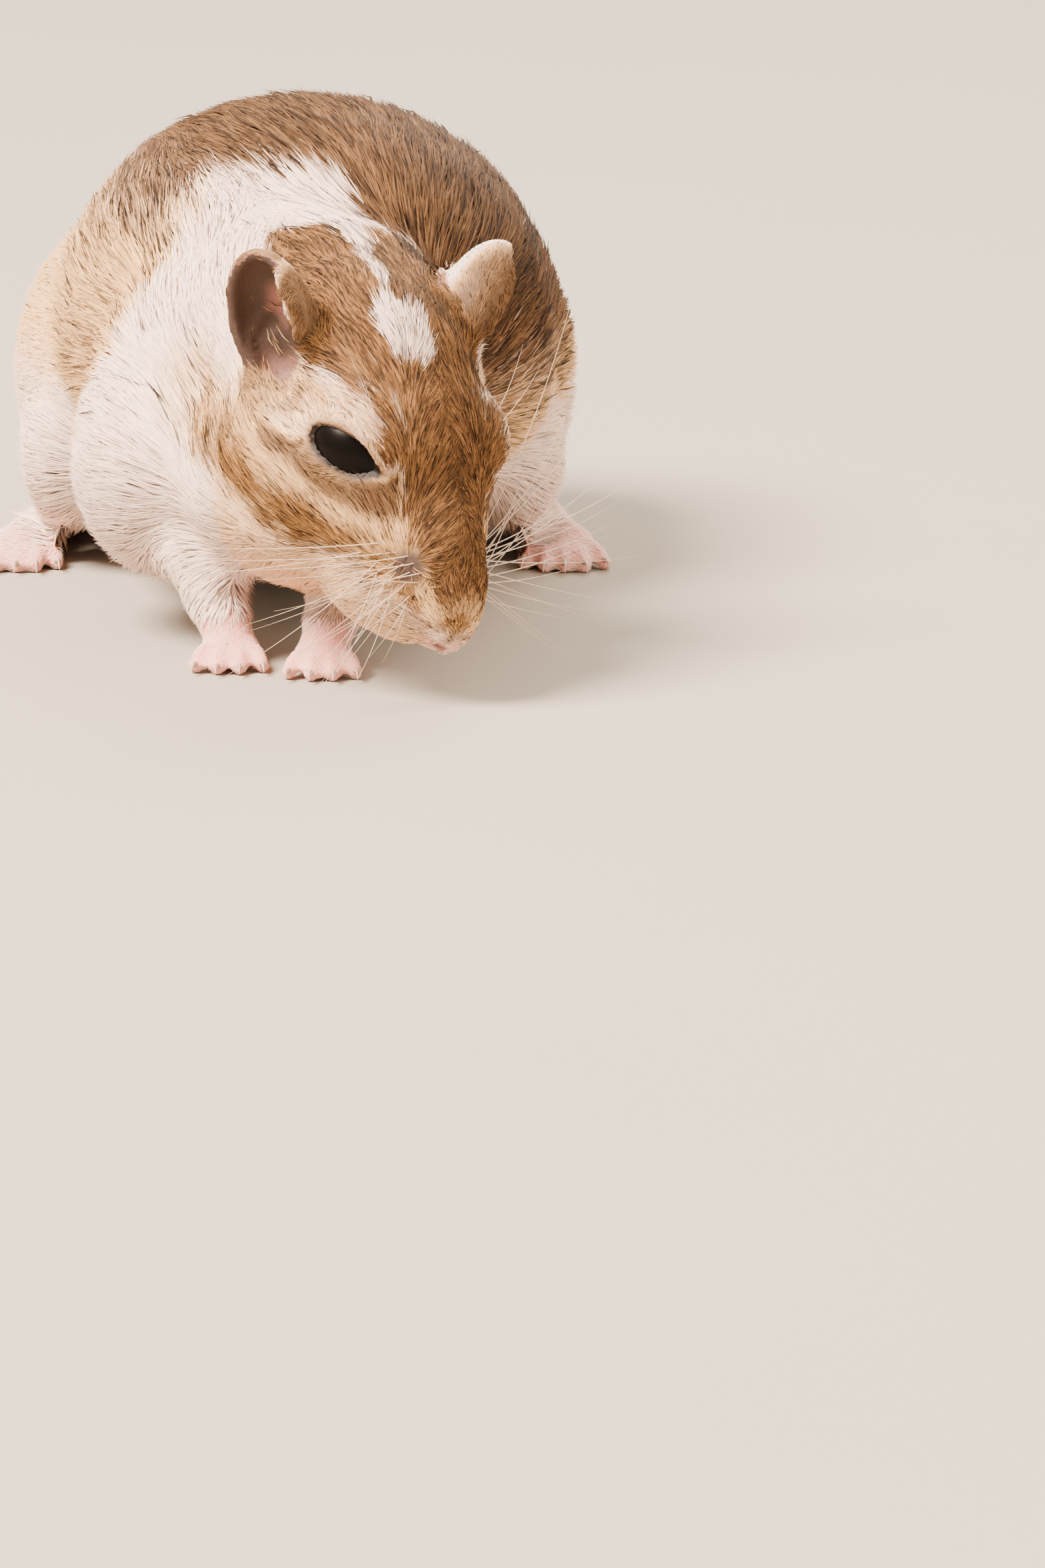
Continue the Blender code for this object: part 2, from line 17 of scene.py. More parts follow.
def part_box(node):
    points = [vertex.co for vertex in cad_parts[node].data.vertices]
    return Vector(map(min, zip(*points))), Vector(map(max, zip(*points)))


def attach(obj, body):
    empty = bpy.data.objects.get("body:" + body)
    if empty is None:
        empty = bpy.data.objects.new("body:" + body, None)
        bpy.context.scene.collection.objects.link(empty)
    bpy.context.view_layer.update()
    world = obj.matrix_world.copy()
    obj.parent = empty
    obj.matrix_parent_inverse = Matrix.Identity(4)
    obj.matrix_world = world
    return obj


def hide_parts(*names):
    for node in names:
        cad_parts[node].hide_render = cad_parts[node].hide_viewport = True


bl_info = {
    "name": "Crouching gerbil",
    "version": (1, 0, 0),
    "blender": (4, 5, 0),
    "location": "3D View > Sidebar > Gerbil",
    "description": "Builds the skin, coat, eyes and whiskers of a life-size gerbil",
    "category": "Object",
}

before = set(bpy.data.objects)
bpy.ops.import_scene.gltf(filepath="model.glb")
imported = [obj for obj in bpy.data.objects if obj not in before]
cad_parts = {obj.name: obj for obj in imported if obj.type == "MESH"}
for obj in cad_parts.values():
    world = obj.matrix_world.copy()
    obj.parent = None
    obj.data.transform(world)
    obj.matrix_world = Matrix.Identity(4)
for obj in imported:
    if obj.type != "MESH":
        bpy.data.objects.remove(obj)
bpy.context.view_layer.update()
MM = 0.001
RIGHT, LEFT = -1, 1
SIDES = {"right": RIGHT, "left": LEFT}
SEED = 20

# Where the eyes and the nose stand in the head's own millimetres: forward, left, up.
EYE_FORWARD, EYE_LEFT, EYE_UP = -0.7, 4.3, 0.1
NOSE_FORWARD, NOSE_UP = 15.4, -6.3
EYE_LOOKS = (0.36, 0.87, 0.30)
SLIT_RISE = 0.33
# The eye's opening: its middle, half length, and rise and fall from its middle line.
SLIT_MIDDLE = (0.1, -0.2)
SLIT_HALF_LENGTH = 3.75
SLIT_RISES = (1.55, 1.4)
EYE_LONG = 1.2
EAR_PLACE = {RIGHT: (-8.7, -7.8, 0.3), LEFT: (-9.8, 9.1, 2.3)}
EAR_RISE = {RIGHT: (-0.63, -0.36, 0.69), LEFT: (-0.55, 0.50, 0.67)}
EAR_FACE = {RIGHT: (0.46, -0.89, -0.05), LEFT: (0.46, 0.89, -0.05)}
EAR_HEIGHT, EAR_WIDTH, EAR_DEPTH = 12.2, 7.4, 3.0
# The middles of a whisker pad and of a nostril. The left side's have the same numbers as the right's.
PAD = (10.4, 4.1, -2.6)
NOSTRIL = (15.6, 1.35, -6.9)
NOSE_TIP = (16.2, 0, -5.6)

# How the flesh becomes one skin, in mm, and the share of its faces that are kept.
SHELL_PUFF, VOXEL, KEPT_FACES = 0.18, 0.34, 0.42
MOST_NEIGHBOURS = 12
# Where the skin lies, in eyeball radii: under the eye's opening, and on the lid beside it.
SKIN_UNDER_EYE, SKIN_ON_LID = 0.86, 1.055
# How high above the floor each kind of piece stays, in mm.
STRAND_LOWEST, SKIN_LOWEST, HAIR_LOWEST, WHISKER_LOWEST = 0.02, 0.03, 0.05, 0.25

# The camera: where it stands from the head, how far it looks down, and its focal length in photo pixels.
CAMERA_WAY = (9.5, -480.0, 85.3)
CAMERA_TILT = 13.2
FOCAL_PIXELS, PHOTO_HEIGHT = 9000, 2352
SENSOR = 36

FLESH = [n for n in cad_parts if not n.startswith("eye_") and "claw" not in n]
CLAWS = [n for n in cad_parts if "claw" in n]
EYES = ["eye_right", "eye_left"]

# For each part: coat depth, hair length and hair width in mm, then hairs on a square mm.
COAT = {
    "back": (2.2, 6.4, 0.21, 14.5),
    "rump": (2.2, 6.4, 0.21, 11.0),
    "chest": (2.1, 5.8, 0.19, 17.0),
    "neck": (1.7, 5.0, 0.175, 22.0),
    "jaw": (0.8, 2.6, 0.15, 26.0),
    "nose": (0.2, 0.7, 0.08, 60.0),
    "ear": (0.08, 1.0, 0.08, 22.0),
    "shoulder": (1.5, 4.8, 0.18, 19.0),
    "forearm": (0.5, 2.4, 0.13, 24.0),
    "forepaw": (0.06, 0.8, 0.06, 11.0),
    "thigh": (1.7, 4.8, 0.2, 11.5),
    "shin": (0.8, 3.0, 0.16, 17.0),
    "hind_foot": (0.08, 1.1, 0.07, 12.0),
    "tail_base": (0.9, 3.4, 0.17, 12.5),
    "tail_middle": (0.8, 3.4, 0.17, 12.5),
    "tail_tip": (1.2, 7.5, 0.17, 20.0),
}
EAR_FOLD_COAT = np.array((0.2, 1.3, 0.08, 44.0))
# On the head they change along its length, from the nape to the nose.
HEAD_ALONG = (-22, -10, 0, 8, 15)
HEAD_DEPTH = (1.6, 1.0, 0.7, 0.4, 0.22)
HEAD_LENGTH = (4.6, 3.4, 2.7, 2.2, 1.1)
HEAD_WIDTH = (0.16, 0.125, 0.105, 0.09, 0.08)
HEAD_HAIRS = (24, 44, 56, 68, 76)
# What the cheeks add to depth and length, and the share by which each of the four changes at an eye's edge.
CHEEK_ADDS = (0.5, 0.8)
EYE_CHANGES = (-0.75, -0.6, -0.3, 0.5)
# Each stretch of a hair: its share of the length, and how high in the coat it ends.
HAIR_STRETCHES = ((0.42, 0.62), (0.58, 1.0))
# How far along the hair each of its points is: the root, a ring of three and the tip.
ALONG_HAIR = (0.0, 0.42, 0.42, 0.42, 1.0)
# A hair's patch on the OFBake map is this wide.
PATCH = 0.003

# Where the markings run on the head, in its own mm. The cap ends below at CAP_LINE, given as forward and up.
CAP_LINE = (
    (-26, -13, -7, -3.3, -0.3, 2.7, 4.9, 6.8, 9.1, 12.1, 14.7, 16),
    (0, 2.2, 3.4, 5.3, 6.2, 5.1, 2.5, 0.2, -0.7, -2.3, -4.3, -4.9),
)
STRIPE_ALONG = (-21, -16, -7, -1, 3, 7, 10)
STRIPE_TOP = (-8, -6.4, -4.3, -3.4, -3.2, -2.0, -1.7)
STRIPE_LOW = (-14, -14.6, -11.2, -8.9, -7.6, -5.2, -3.6)
# The white strip from the forehead spot to the collar: forward, left, up and half width.
WHITE_STRIP = (
    (-11.2, -0.9, 9.2, 0.25),
    (-13.7, 0.1, 8.9, 0.75),
    (-17.5, 1.9, 7.8, 1.05),
    (-21.4, 3.8, 6.2, 1.5),
    (-26.0, 6.5, 4.2, 3.0),
    (-21.0, 10.2, 4.2, 0.9),
)


def unit(vectors):
    """The vectors at length 1."""
    return vectors / np.maximum(np.linalg.norm(vectors, axis=-1, keepdims=True), 1e-12)


def step(low, high, value):
    """0 below low and 1 above high, with a soft rise between them."""
    t = np.clip((value - low) / (high - low), 0, 1)
    return t * t * (3 - 2 * t)


def linear(hex_colour):
    """An sRGB hex colour as the linear numbers that Blender's colours hold."""
    parts = [int(hex_colour[i : i + 2], 16) / 255 for i in (1, 3, 5)]
    return tuple(p / 12.92 if p <= 0.04045 else ((p + 0.055) / 1.055) ** 2.4 for p in parts)


def middle(node):
    """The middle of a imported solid's box."""
    low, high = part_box(node)
    return (Vector(low) + Vector(high)) / 2


def eye_middle(side):
    """The middle of one side's eyeball, in metres."""
    return middle("eye_right" if side < 0 else "eye_left")


def head_frame():
    """(matrix from the head's own millimetres to the world's metres, eye radius in metres)"""
    right, left = middle("eye_right"), middle("eye_left")
    sideways = (left - right).normalized()
    nose = middle("nose") - (left + right) / 2
    nose -= sideways * nose.dot(sideways)
    slope = math.atan2(NOSE_UP - EYE_UP, NOSE_FORWARD - EYE_FORWARD)
    towards_nose = nose.normalized()
    up = towards_nose.cross(sideways)
    forward = towards_nose * math.cos(slope) - up * math.sin(slope)
    axes = Matrix((forward, sideways, forward.cross(sideways))).transposed()
    size = (left - right).length / (2 * EYE_LEFT)
    origin = (left + right) / 2 - axes @ Vector((EYE_FORWARD, 0, EYE_UP)) * size
    low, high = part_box("eye_right")
    return Matrix.Translation(origin) @ (axes * size).to_4x4(), max(high - low) / 2


HEAD, EYE_RADIUS = head_frame()
HEAD_TURN = HEAD.to_3x3() * (1 / HEAD.to_3x3().col[0].length)
EYE_RADII = np.array((EYE_LONG, 1, 1)) * EYE_RADIUS / MM


def eye_frame(side):
    """The eye's axes in the world, in metres: z looks out and x runs along the slit."""
    outward = Vector((EYE_LOOKS[0], side * EYE_LOOKS[1], EYE_LOOKS[2])).normalized()
    along = Vector((1, 0, SLIT_RISE))
    along = (along - outward * along.dot(outward)).normalized()
    turn = HEAD_TURN @ Matrix((along, outward.cross(along), outward)).transposed()
    return Matrix.Translation(eye_middle(side)) @ turn.to_4x4()


def in_frame(points, matrix):
    """Points in millimetres as seen from a frame given in metres, in the frame's own units."""
    back = np.array(matrix.inverted())
    return points * MM @ back[:3, :3].T + back[:3, 3]


def head_places(points):
    """Places in the head's own mm: forward, left, up."""
    return in_frame(points, HEAD)


def nearest(places, spot):
    """Number of the place that is nearest to a spot."""
    return int(np.argmin(np.linalg.norm(places - spot, axis=1)))


def distance(places, spot, side, spread=1):
    """How far places on the head are from a spot that both sides have, measured in spreads."""
    return np.linalg.norm((places - np.multiply(spot, (1, side, 1))) / spread, axis=1)


def eye_places(points, side):
    """Places about the eye in mm: x forward along the slit, y towards the brow, z out."""
    places = in_frame(points, eye_frame(side)) / MM
    places[:, 1] *= -side
    return places


def ear_turn(side):
    """The ear's directions on the head, as columns: towards its front edge, out of the cup, up to the tip."""
    rise = unit(np.array(EAR_RISE[side]))
    facing = np.array(EAR_FACE[side])
    facing = unit(facing - rise * (facing @ rise))
    return np.stack([np.cross(rise, facing) * -side, facing, rise], 1)


def ear_places(points, side):
    """Places in an ear's own directions, in mm from the middle of its foot."""
    return (head_places(points) - EAR_PLACE[side]) @ ear_turn(side)


def ear_opening(front, height):
    """0 in the middle of an ear's opening and 1 on its rim."""
    return np.hypot(front / (EAR_WIDTH / 2), (height - 0.4 * EAR_HEIGHT) / (EAR_HEIGHT / 2))


def ear_fold(front, height):
    """How far a place lies in front of the line where the ear's furry front edge folds in, in mm."""
    return front - np.interp(height, (-1, 1, 3.5, 5.5, 8, 11), (2.4, 2.5, 1.9, 0.5, 1.0, 2.9))


def slit_shape(t):
    """The opening's height along its length, from -1 to 1: blunt behind and sharp in front."""
    return np.maximum(1 - t * t, 0) ** np.where(t < 0, 0.47, 0.86)


def slit_edge(x, y):
    """How far a place is outside the eye's opening, in mm, and below 0 inside it."""
    x, y = x - SLIT_MIDDLE[0], y - SLIT_MIDDLE[1]
    height = np.where(y > 0, *SLIT_RISES) * slit_shape(np.clip(x / SLIT_HALF_LENGTH, -1, 1))
    beyond = np.hypot(np.maximum(np.abs(x) - SLIT_HALF_LENGTH, 0), y)
    return np.where(np.abs(x) < SLIT_HALF_LENGTH, np.abs(y) - height, beyond)


def before_eye(x, y, z, reach, depth=0):
    """Which places about the eye lie within reach of its axis and no deeper than this behind its middle."""
    return (z > -depth) & (np.hypot(x, y) < reach)


def ripple(points, size, seed=0):
    """Smooth noise from about -1 to 1 at each place, of this grain size in mm."""
    shifted = points / size + 31.7 * seed
    return np.array([noise.noise(p) for p in shifted.tolist()]) * 1.6


def rows_of(items, name, width, kind=float):
    """One property of every item of a mesh, as rows of this width."""
    values = np.empty(len(items) * width, kind)
    items.foreach_get(name, values)
    return values.reshape(-1, width)


class Surface:
    """A closed mesh as arrays in millimetres, with its edges, neighbours and normals."""

    def __init__(self, mesh):
        mesh.calc_loop_triangles()
        self.points = rows_of(mesh.vertices, "co", 3) / MM
        self.edges = rows_of(mesh.edges, "vertices", 2, np.int64)
        self.faces = rows_of(mesh.loop_triangles, "vertices", 3, np.int64)
        self.size = len(self.points)
        self.links = np.maximum(np.bincount(self.edges.ravel(), minlength=self.size), 1)
        self.aim()

    def aim(self):
        """Sets the normals and the face areas from where the points are now."""
        a, b, c = (self.points[self.faces[:, i]] for i in range(3))
        cross = np.cross(b - a, c - a)
        self.areas = np.linalg.norm(cross, axis=1) / 2
        self.normals = unit(self.gathered(cross))

    def gathered(self, vectors):
        """At each vertex, the sum of its faces' vectors."""
        total = np.zeros_like(self.points)
        for corner in range(3):
            for axis in range(3):
                total[:, axis] += np.bincount(self.faces[:, corner], vectors[:, axis], self.size)
        return total

    def smooth(self, values, rounds, share=0.6):
        """The values, each moved this share of the way to its neighbours' mean, round after round."""
        flat = np.array(values, float).reshape(self.size, -1)
        one, two = self.edges.T
        for _ in range(rounds):
            for column in range(flat.shape[1]):
                old = flat[:, column]
                total = np.bincount(one, old[two], self.size) + np.bincount(two, old[one], self.size)
                flat[:, column] = old + share * (total / self.links - old)
        return flat.reshape(np.shape(values))

    def table(self):
        """Each vertex's neighbours in one row, filled up with itself."""
        ends = np.concatenate([self.edges, self.edges[:, ::-1]])
        ends = ends[np.argsort(ends[:, 0], kind="stable")]
        starts = np.concatenate([[0], np.cumsum(self.links)[:-1]])
        slot = np.arange(len(ends)) - starts[ends[:, 0]]
        rows = np.tile(np.arange(self.size)[:, None], (1, min(slot.max() + 1, MOST_NEIGHBOURS)))
        kept = slot < rows.shape[1]
        rows[ends[kept, 0], slot[kept]] = ends[kept, 1]
        return rows


def nearest_kinds(points):
    """The kind of flesh part, such as head or thigh, whose solid is nearest to each point."""
    corners, faces, owners = [], [], []
    for name in FLESH:
        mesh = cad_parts[name].data
        start = len(corners)
        corners += [v.co / MM for v in mesh.vertices]
        faces += [[start + i for i in p.vertices] for p in mesh.polygons]
        owners += [kind_of(name)] * len(mesh.polygons)
    tree = BVHTree.FromPolygons(corners, faces)
    found = [tree.find_nearest(p)[2] for p in points.tolist()]
    return np.array(owners)[found]


def kind_of(name):
    """The kind of part that a node is, such as thigh for thigh_left."""
    return name.removesuffix("_right").removesuffix("_left")


def coat_sizes(surface, kinds):
    """Depth, length, width and hairs on a square mm for each vertex, with soft changes between parts."""
    along, _, up = head_places(surface.points).T
    sizes = np.zeros((surface.size, 4))
    for kind, numbers in COAT.items():
        sizes[kinds == kind] = numbers
    head = kinds == "head"
    for column, numbers in enumerate((HEAD_DEPTH, HEAD_LENGTH, HEAD_WIDTH, HEAD_HAIRS)):
        sizes[head, column] = np.interp(along[head], HEAD_ALONG, numbers)
    cheek = head * step(-3, -8, up) * step(6, -2, along)
    sizes[:, :2] += cheek[:, None] * CHEEK_ADDS
    sizes = surface.smooth(sizes, 24)
    sizes[kinds == "ear"] = COAT["ear"]
    for side in SIDES.values():
        x, y, z = eye_places(surface.points, side).T
        near = step(2.4, 0.3, slit_edge(x, y)) * before_eye(x, y, z, 8, depth=1)
        sizes *= 1 + near[:, None] * EYE_CHANGES
        front, out, height = ear_places(surface.points, side).T
        by_ear = (kinds != "ear") * step(1.7, 1.1, ear_opening(front, height)) * (np.abs(out) < 5)
        sizes[:, 1] *= 1 - 0.5 * by_ear
        lining = inside_ear(surface.points, kinds, surface.normals, side)
        folded = lining * step(-0.3, 0.5, ear_fold(front, height))
        sizes += folded[:, None] * (EAR_FOLD_COAT - sizes)
    return sizes


def shells_joined():
    """One bmesh of every flesh solid, puffed out enough to close the gaps, with the eye sockets filled."""
    whole = bmesh.new()
    for name in FLESH:
        shell = bmesh.new()
        shell.from_mesh(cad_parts[name].data)
        bmesh.ops.remove_doubles(shell, verts=shell.verts, dist=0.001 * MM)
        bmesh.ops.recalc_face_normals(shell, faces=shell.faces)
        shell.normal_update()
        for vertex in shell.verts:
            vertex.co += vertex.normal * SHELL_PUFF * MM
        mesh = bpy.data.meshes.new("shell")
        shell.to_mesh(mesh)
        shell.free()
        whole.from_mesh(mesh)
        bpy.data.meshes.remove(mesh)
    for eye in EYES:
        bmesh.ops.create_icosphere(
            whole, subdivisions=4, radius=EYE_RADIUS + 0.2 * MM, matrix=Matrix.Translation(middle(eye))
        )
    return whole


def placed(name, mesh):
    """A new object for this mesh in the scene."""
    obj = bpy.data.objects.new(name, mesh)
    bpy.context.scene.collection.objects.link(obj)
    return obj


def with_modifiers(obj):
    """The object's mesh as its modifiers leave it; the object itself goes."""
    graph = bpy.context.evaluated_depsgraph_get()
    mesh = bpy.data.meshes.new_from_object(obj.evaluated_get(graph))
    bpy.data.objects.remove(obj)
    return mesh


def largest_shell(mesh):
    """Removes every loose piece of the mesh but the largest."""
    bm = bmesh.new()
    bm.from_mesh(mesh)
    bm.verts.ensure_lookup_table()
    seen = np.zeros(len(bm.verts), int)
    best, groups = [], 0
    for start in bm.verts:
        if seen[start.index]:
            continue
        groups += 1
        seen[start.index] = groups
        found = [start]
        for vertex in found:
            for edge in vertex.link_edges:
                other = edge.other_vert(vertex)
                if not seen[other.index]:
                    seen[other.index] = groups
                    found.append(other)
        if len(found) > len(best):
            best = found
    kept = seen[best[0].index]
    bmesh.ops.delete(bm, geom=[v for v in bm.verts if seen[v.index] != kept], context="VERTS")
    bm.to_mesh(mesh)
    bm.free()


def sculpt_eyes(surface):
    """Opens each eye: the skin dives under the eyeball inside the slit and stands up as a lid around it."""
    for side in SIDES.values():
        places = eye_places(surface.points, side)
        x, y, z = places.T
        reach = np.linalg.norm(places / EYE_RADII, axis=1)
        edge = slit_edge(x, y)
        inside = (z > 0) & (reach < 2) & (edge < 0)
        near = (z > 0) & (reach < 2) & (edge >= 0) & (edge < 3)
        wanted = reach.copy()
        wanted[inside] = SKIN_UNDER_EYE
        lid = SKIN_ON_LID + 0.02 * edge[near]
        wanted[near] = np.maximum(reach[near], lid)
        wanted[near] += (lid - wanted[near]) * step(0.9, 0.1, edge[near])
        centre = np.array(eye_middle(side)) / MM
        surface.points = centre + (surface.points - centre) * (wanted / reach)[:, None]


def ear_axes(side):
    """The ear's directions in the world, as rows."""
    return ear_turn(side).T @ np.array(HEAD_TURN).T


def inside_ear(points, kinds, normals, side):
    """Which places line the ear's cup, on the ear itself and where the cup runs on into the head."""
    front, out, height = ear_places(points, side).T
    cup = EAR_DEPTH * np.sqrt(np.clip(1 - ear_opening(front, height) ** 2, 0, 1))
    own = (kinds == "ear") & (normals @ ear_axes(side)[1] > -0.35) & (out > 0.1 - cup)
    off = (kinds != "ear") & (ear_opening(front, height) < 0.95) & (height < 6)
    return (own | off) & (np.abs(out) < 5)


def sculpt_ears(surface, kinds):
    """Carries each ear's cup on into the head, closes its rim below and rolls its front edge in."""
    for side in SIDES.values():
        front, out, height = ear_places(surface.points, side).T
        open_share = ear_opening(front, height)
        off_ear = (kinds != "ear") & (np.abs(out) < 5)
        bowl = 0.3 - EAR_DEPTH * 0.8 * np.sqrt(np.clip(1 - (open_share / 0.95) ** 2, 0, 1))
        inside = off_ear & (open_share < 0.95) & (height < 6)
        down = np.where(inside, np.minimum(bowl - out, 0), 0)
        low_rim = step(0.2, 0.0, np.abs(open_share - 1.0)) * step(5.0, 2.5, height) * off_ear
        move = np.clip(down, -4, 0) + 0.7 * low_rim * ~inside
        lining = inside_ear(surface.points, kinds, surface.normals, side)
        fold = step(-0.5, 0.9, ear_fold(front, height)) * step(1.0, 0.75, open_share)
        move = move + 1.7 * lining * fold
        surface.points += ear_axes(side)[1] * surface.smooth(move, 3)[:, None]


def sculpt_nose(surface):
    """Nostrils, the groove under them and the mouth line."""
    places = head_places(surface.points)
    along, sideways, up = places.T
    dent = np.zeros(surface.size)
    for side in SIDES.values():
        nostril = distance(places, NOSTRIL, side, (0.9, 0.65, 0.45))
        dent = np.maximum(dent, 0.6 * step(1.3, 0.3, nostril))
    groove = step(0.45, 0.1, np.abs(sideways)) * step(-6.6, -7.2, up) * step(12, 13.5, along)
    dent = np.maximum(dent, 0.35 * groove)
    surface.points -= surface.normals * dent[:, None]


def flesh_as_one():
    """The solids' flesh as one closed mesh with no gaps."""
    mesh = bpy.data.meshes.new("flesh")
    whole = shells_joined()
    whole.to_mesh(mesh)
    whole.free()
    rough = placed("flesh", mesh)
    remesh = rough.modifiers.new("one_surface", "REMESH")
    remesh.mode = "VOXEL"
    remesh.voxel_size = VOXEL * MM
    mesh = with_modifiers(rough)
    largest_shell(mesh)
    return mesh


# How much each kind of part is smoothed, and how readily its faces are merged, with a number for the rest.
SMOOTHED_ELSE, MERGED_ELSE = 0.9, 0.3
SMOOTHED = {"head": 0.3, "jaw": 0.3, "nose": 0.05, "ear": 0.03, "forepaw": 0.02, "hind_foot": 0.02}
SMOOTHED |= {"forearm": 0.3, "tail_base": 0.6, "tail_middle": 0.6, "tail_tip": 0.6}
MERGED = {"back": 1.0, "rump": 1.0, "chest": 1.0, "neck": 1.0, "thigh": 1.0, "shoulder": 1.0}
MERGED |= {"forepaw": 0.1, "hind_foot": 0.1, "ear": 0.1, "nose": 0.1}


def skin_mesh():
    """The flesh as one smooth mesh, lying inside the solids by the coat's depth."""
    mesh = flesh_as_one()
    surface = Surface(mesh)
    kinds = nearest_kinds(surface.points)
    share = surface.smooth(np.array([SMOOTHED.get(k, SMOOTHED_ELSE) for k in kinds]), 10)
    for side in SIDES.values():
        reach = np.linalg.norm(eye_places(surface.points, side), axis=1)
        share *= 1 - 0.75 * step(7, 4.5, reach)
    surface.points = surface.smooth(surface.points, 70, share)
    surface.aim()
    depth = coat_sizes(surface, kinds)[:, 0]
    normals = unit(surface.smooth(surface.normals, 12))
    surface.points -= normals * (depth + 0.05)[:, None]
    surface.points = surface.smooth(surface.points, 6, share)
    surface.aim()
    sculpt_nose(surface)
    sculpt_ears(surface, kinds)
    sculpt_eyes(surface)
    surface.points[:, 2] = np.maximum(surface.points[:, 2], SKIN_LOWEST)
    mesh.vertices.foreach_set("co", (surface.points * MM).astype(np.float32).ravel())
    mesh.update()
    smooth = placed("skin_draft", mesh)
    group = smooth.vertex_groups.new(name="merged")
    merged = np.array([MERGED.get(k, MERGED_ELSE) for k in kinds])
    for level in np.unique(merged):
        group.add(np.nonzero(merged == level)[0].tolist(), float(level), "REPLACE")
    fewer = smooth.modifiers.new("fewer", "DECIMATE")
    fewer.vertex_group = "merged"
    fewer.ratio = KEPT_FACES
    return with_modifiers(smooth)


def geodesic(surface, sources):
    """The shortest way over the skin from the sources, given as vertex: head start in mm."""
    lengths = np.linalg.norm(
        surface.points[surface.edges[:, 0]] - surface.points[surface.edges[:, 1]], axis=1
    )
    links = [[] for _ in range(surface.size)]
    for (a, b), length in zip(surface.edges.tolist(), lengths.tolist()):
        links[a].append((b, length))
        links[b].append((a, length))
    ways = [math.inf] * surface.size
    queue = [(start, vertex) for vertex, start in sources.items()]
    for start, vertex in queue:
        ways[vertex] = start
    heapq.heapify(queue)
    while queue:
        way, vertex = heapq.heappop(queue)
        if way > ways[vertex]:
            continue
        for other, length in links[vertex]:
            if way + length < ways[other]:
                ways[other] = way + length
                heapq.heappush(queue, (way + length, other))
    return np.array(ways)


def tangent(vectors, normals):
    """The vectors' share that lies along the surface."""
    return vectors - normals * (vectors * normals).sum(1)[:, None]


def slope_of(surface, values):
    """The values' uphill direction at each vertex, along the surface."""
    a, b, c = (surface.points[surface.faces[:, i]] for i in range(3))
    va, vb, vc = (values[surface.faces[:, i]] for i in range(3))
    normal = unit(np.cross(b - a, c - a))
    uphill = np.cross(normal, a - c) * (vb - va)[:, None] + np.cross(normal, b - a) * (vc - va)[:, None]
    return unit(tangent(surface.gathered(uphill), surface.normals))


def lie_of(surface, kinds):
    """The way the hair lies at each vertex: away from the nose and the whisker pads, and round the eyes."""
    places = head_places(surface.points)
    tip = nearest(places, NOSE_TIP)
    ways = geodesic(surface, {tip: 0.0})
    starts = {tip: 0.0}
    for side in SIDES.values():
        middle_of_pad = nearest(places, np.multiply(PAD, (1, side, 1)))
        starts[middle_of_pad] = max(ways[middle_of_pad] - 5.5, 0.2)
    ways = surface.smooth(geodesic(surface, starts), 16)
    lie = slope_of(surface, ways)
    for _ in range(3):
        lie = unit(tangent(surface.smooth(lie, 5), surface.normals))
    for side in SIDES.values():
        x, y, z = eye_places(surface.points, side).T
        edge = slit_edge(x, y)
        away = slope_of(surface, edge)
        close = step(2.6, 0.4, edge) * before_eye(x, y, z, 8)
        inward = np.minimum((lie * away).sum(1), 0)
        lie = lie + away * (close * (0.45 - inward))[:, None]
        front, _, height = ear_places(surface.points, side).T
        to_front, _, rise = ear_axes(side)
        lining = inside_ear(surface.points, kinds, surface.normals, side)
        share = (lining * step(-0.4, 0.4, ear_fold(front, height)))[:, None]
        lie = lie * (1 - share) - share * (0.75 * to_front + 0.65 * rise)
    return unit(tangent(lie, surface.normals))


class Places:
    """Places on the coat, by the head's directions and the world's, with the noise that frays the borders."""

    def __init__(self, points, kinds):
        self.points, self.kinds = points, kinds
        self.along, self.sideways, self.up = head_places(points).T
        self.out = np.abs(self.sideways)
        self.x, self.y, self.z = points.T
        self.fine = ripple(points, 1.6, 1)
        self.broad = ripple(points, 5.5, 2)
        self.edge = 0.45 * self.fine
        self.wide = 1.1 * self.broad + 0.8 * self.fine
        self.on_head = self.of("head", "nose", "jaw", "ear", "neck", "chest", "shoulder")
        self.cap_line = np.interp(self.along, *CAP_LINE)
        self.stripe_top = np.interp(self.along, STRIPE_ALONG, STRIPE_TOP)

    def of(self, *kinds):
        return np.isin(self.kinds, kinds)


def brown_cap(at):
    """The brown cap of the head, from the nape down to the nose."""
    rear = np.interp(at.x, (4, 9), (-68.5, -60)) + 0.6 * at.broad
    cap = step(-0.8, 0.8, at.up - at.cap_line + at.edge) * step(0.8, -0.8, at.y - rear + at.edge)
    cap *= step(-31, -29, at.along) * step(15.8, 13.2, at.along + 0.4 * at.fine) * at.on_head
    side_limit = np.interp(at.along, (6, 9, 12, 14.7, 16.5), (9, 5.5, 3.5, 2.2, 1.2))
    return cap * step(0.9, -0.6, at.out - side_limit + at.edge)


def cheek_stripe(at):
    """The gold stripe from the muzzle, under the eye, to the side of the neck."""
    low = np.interp(at.along, STRIPE_ALONG, STRIPE_LOW)
    stripe = step(-1.4, 2.8, at.stripe_top - at.up + at.edge) * step(-1.6, 2.2, at.up - low + at.edge)
    stripe *= step(10, 6.5, at.along) * step(2.5, -2.5, at.y + 70.5 + at.wide) * (at.out > 2.5) * at.on_head
    # Fully brown at the front, partly as painted shade on the stripe's lower front.
    stripe *= np.interp(at.along, (-18, -8, 2), (0.7, 0.85, 1.15))
    return np.clip(stripe * (1.0 + 0.35 * ripple(at.points, 2.8, 6)), 0, 1)


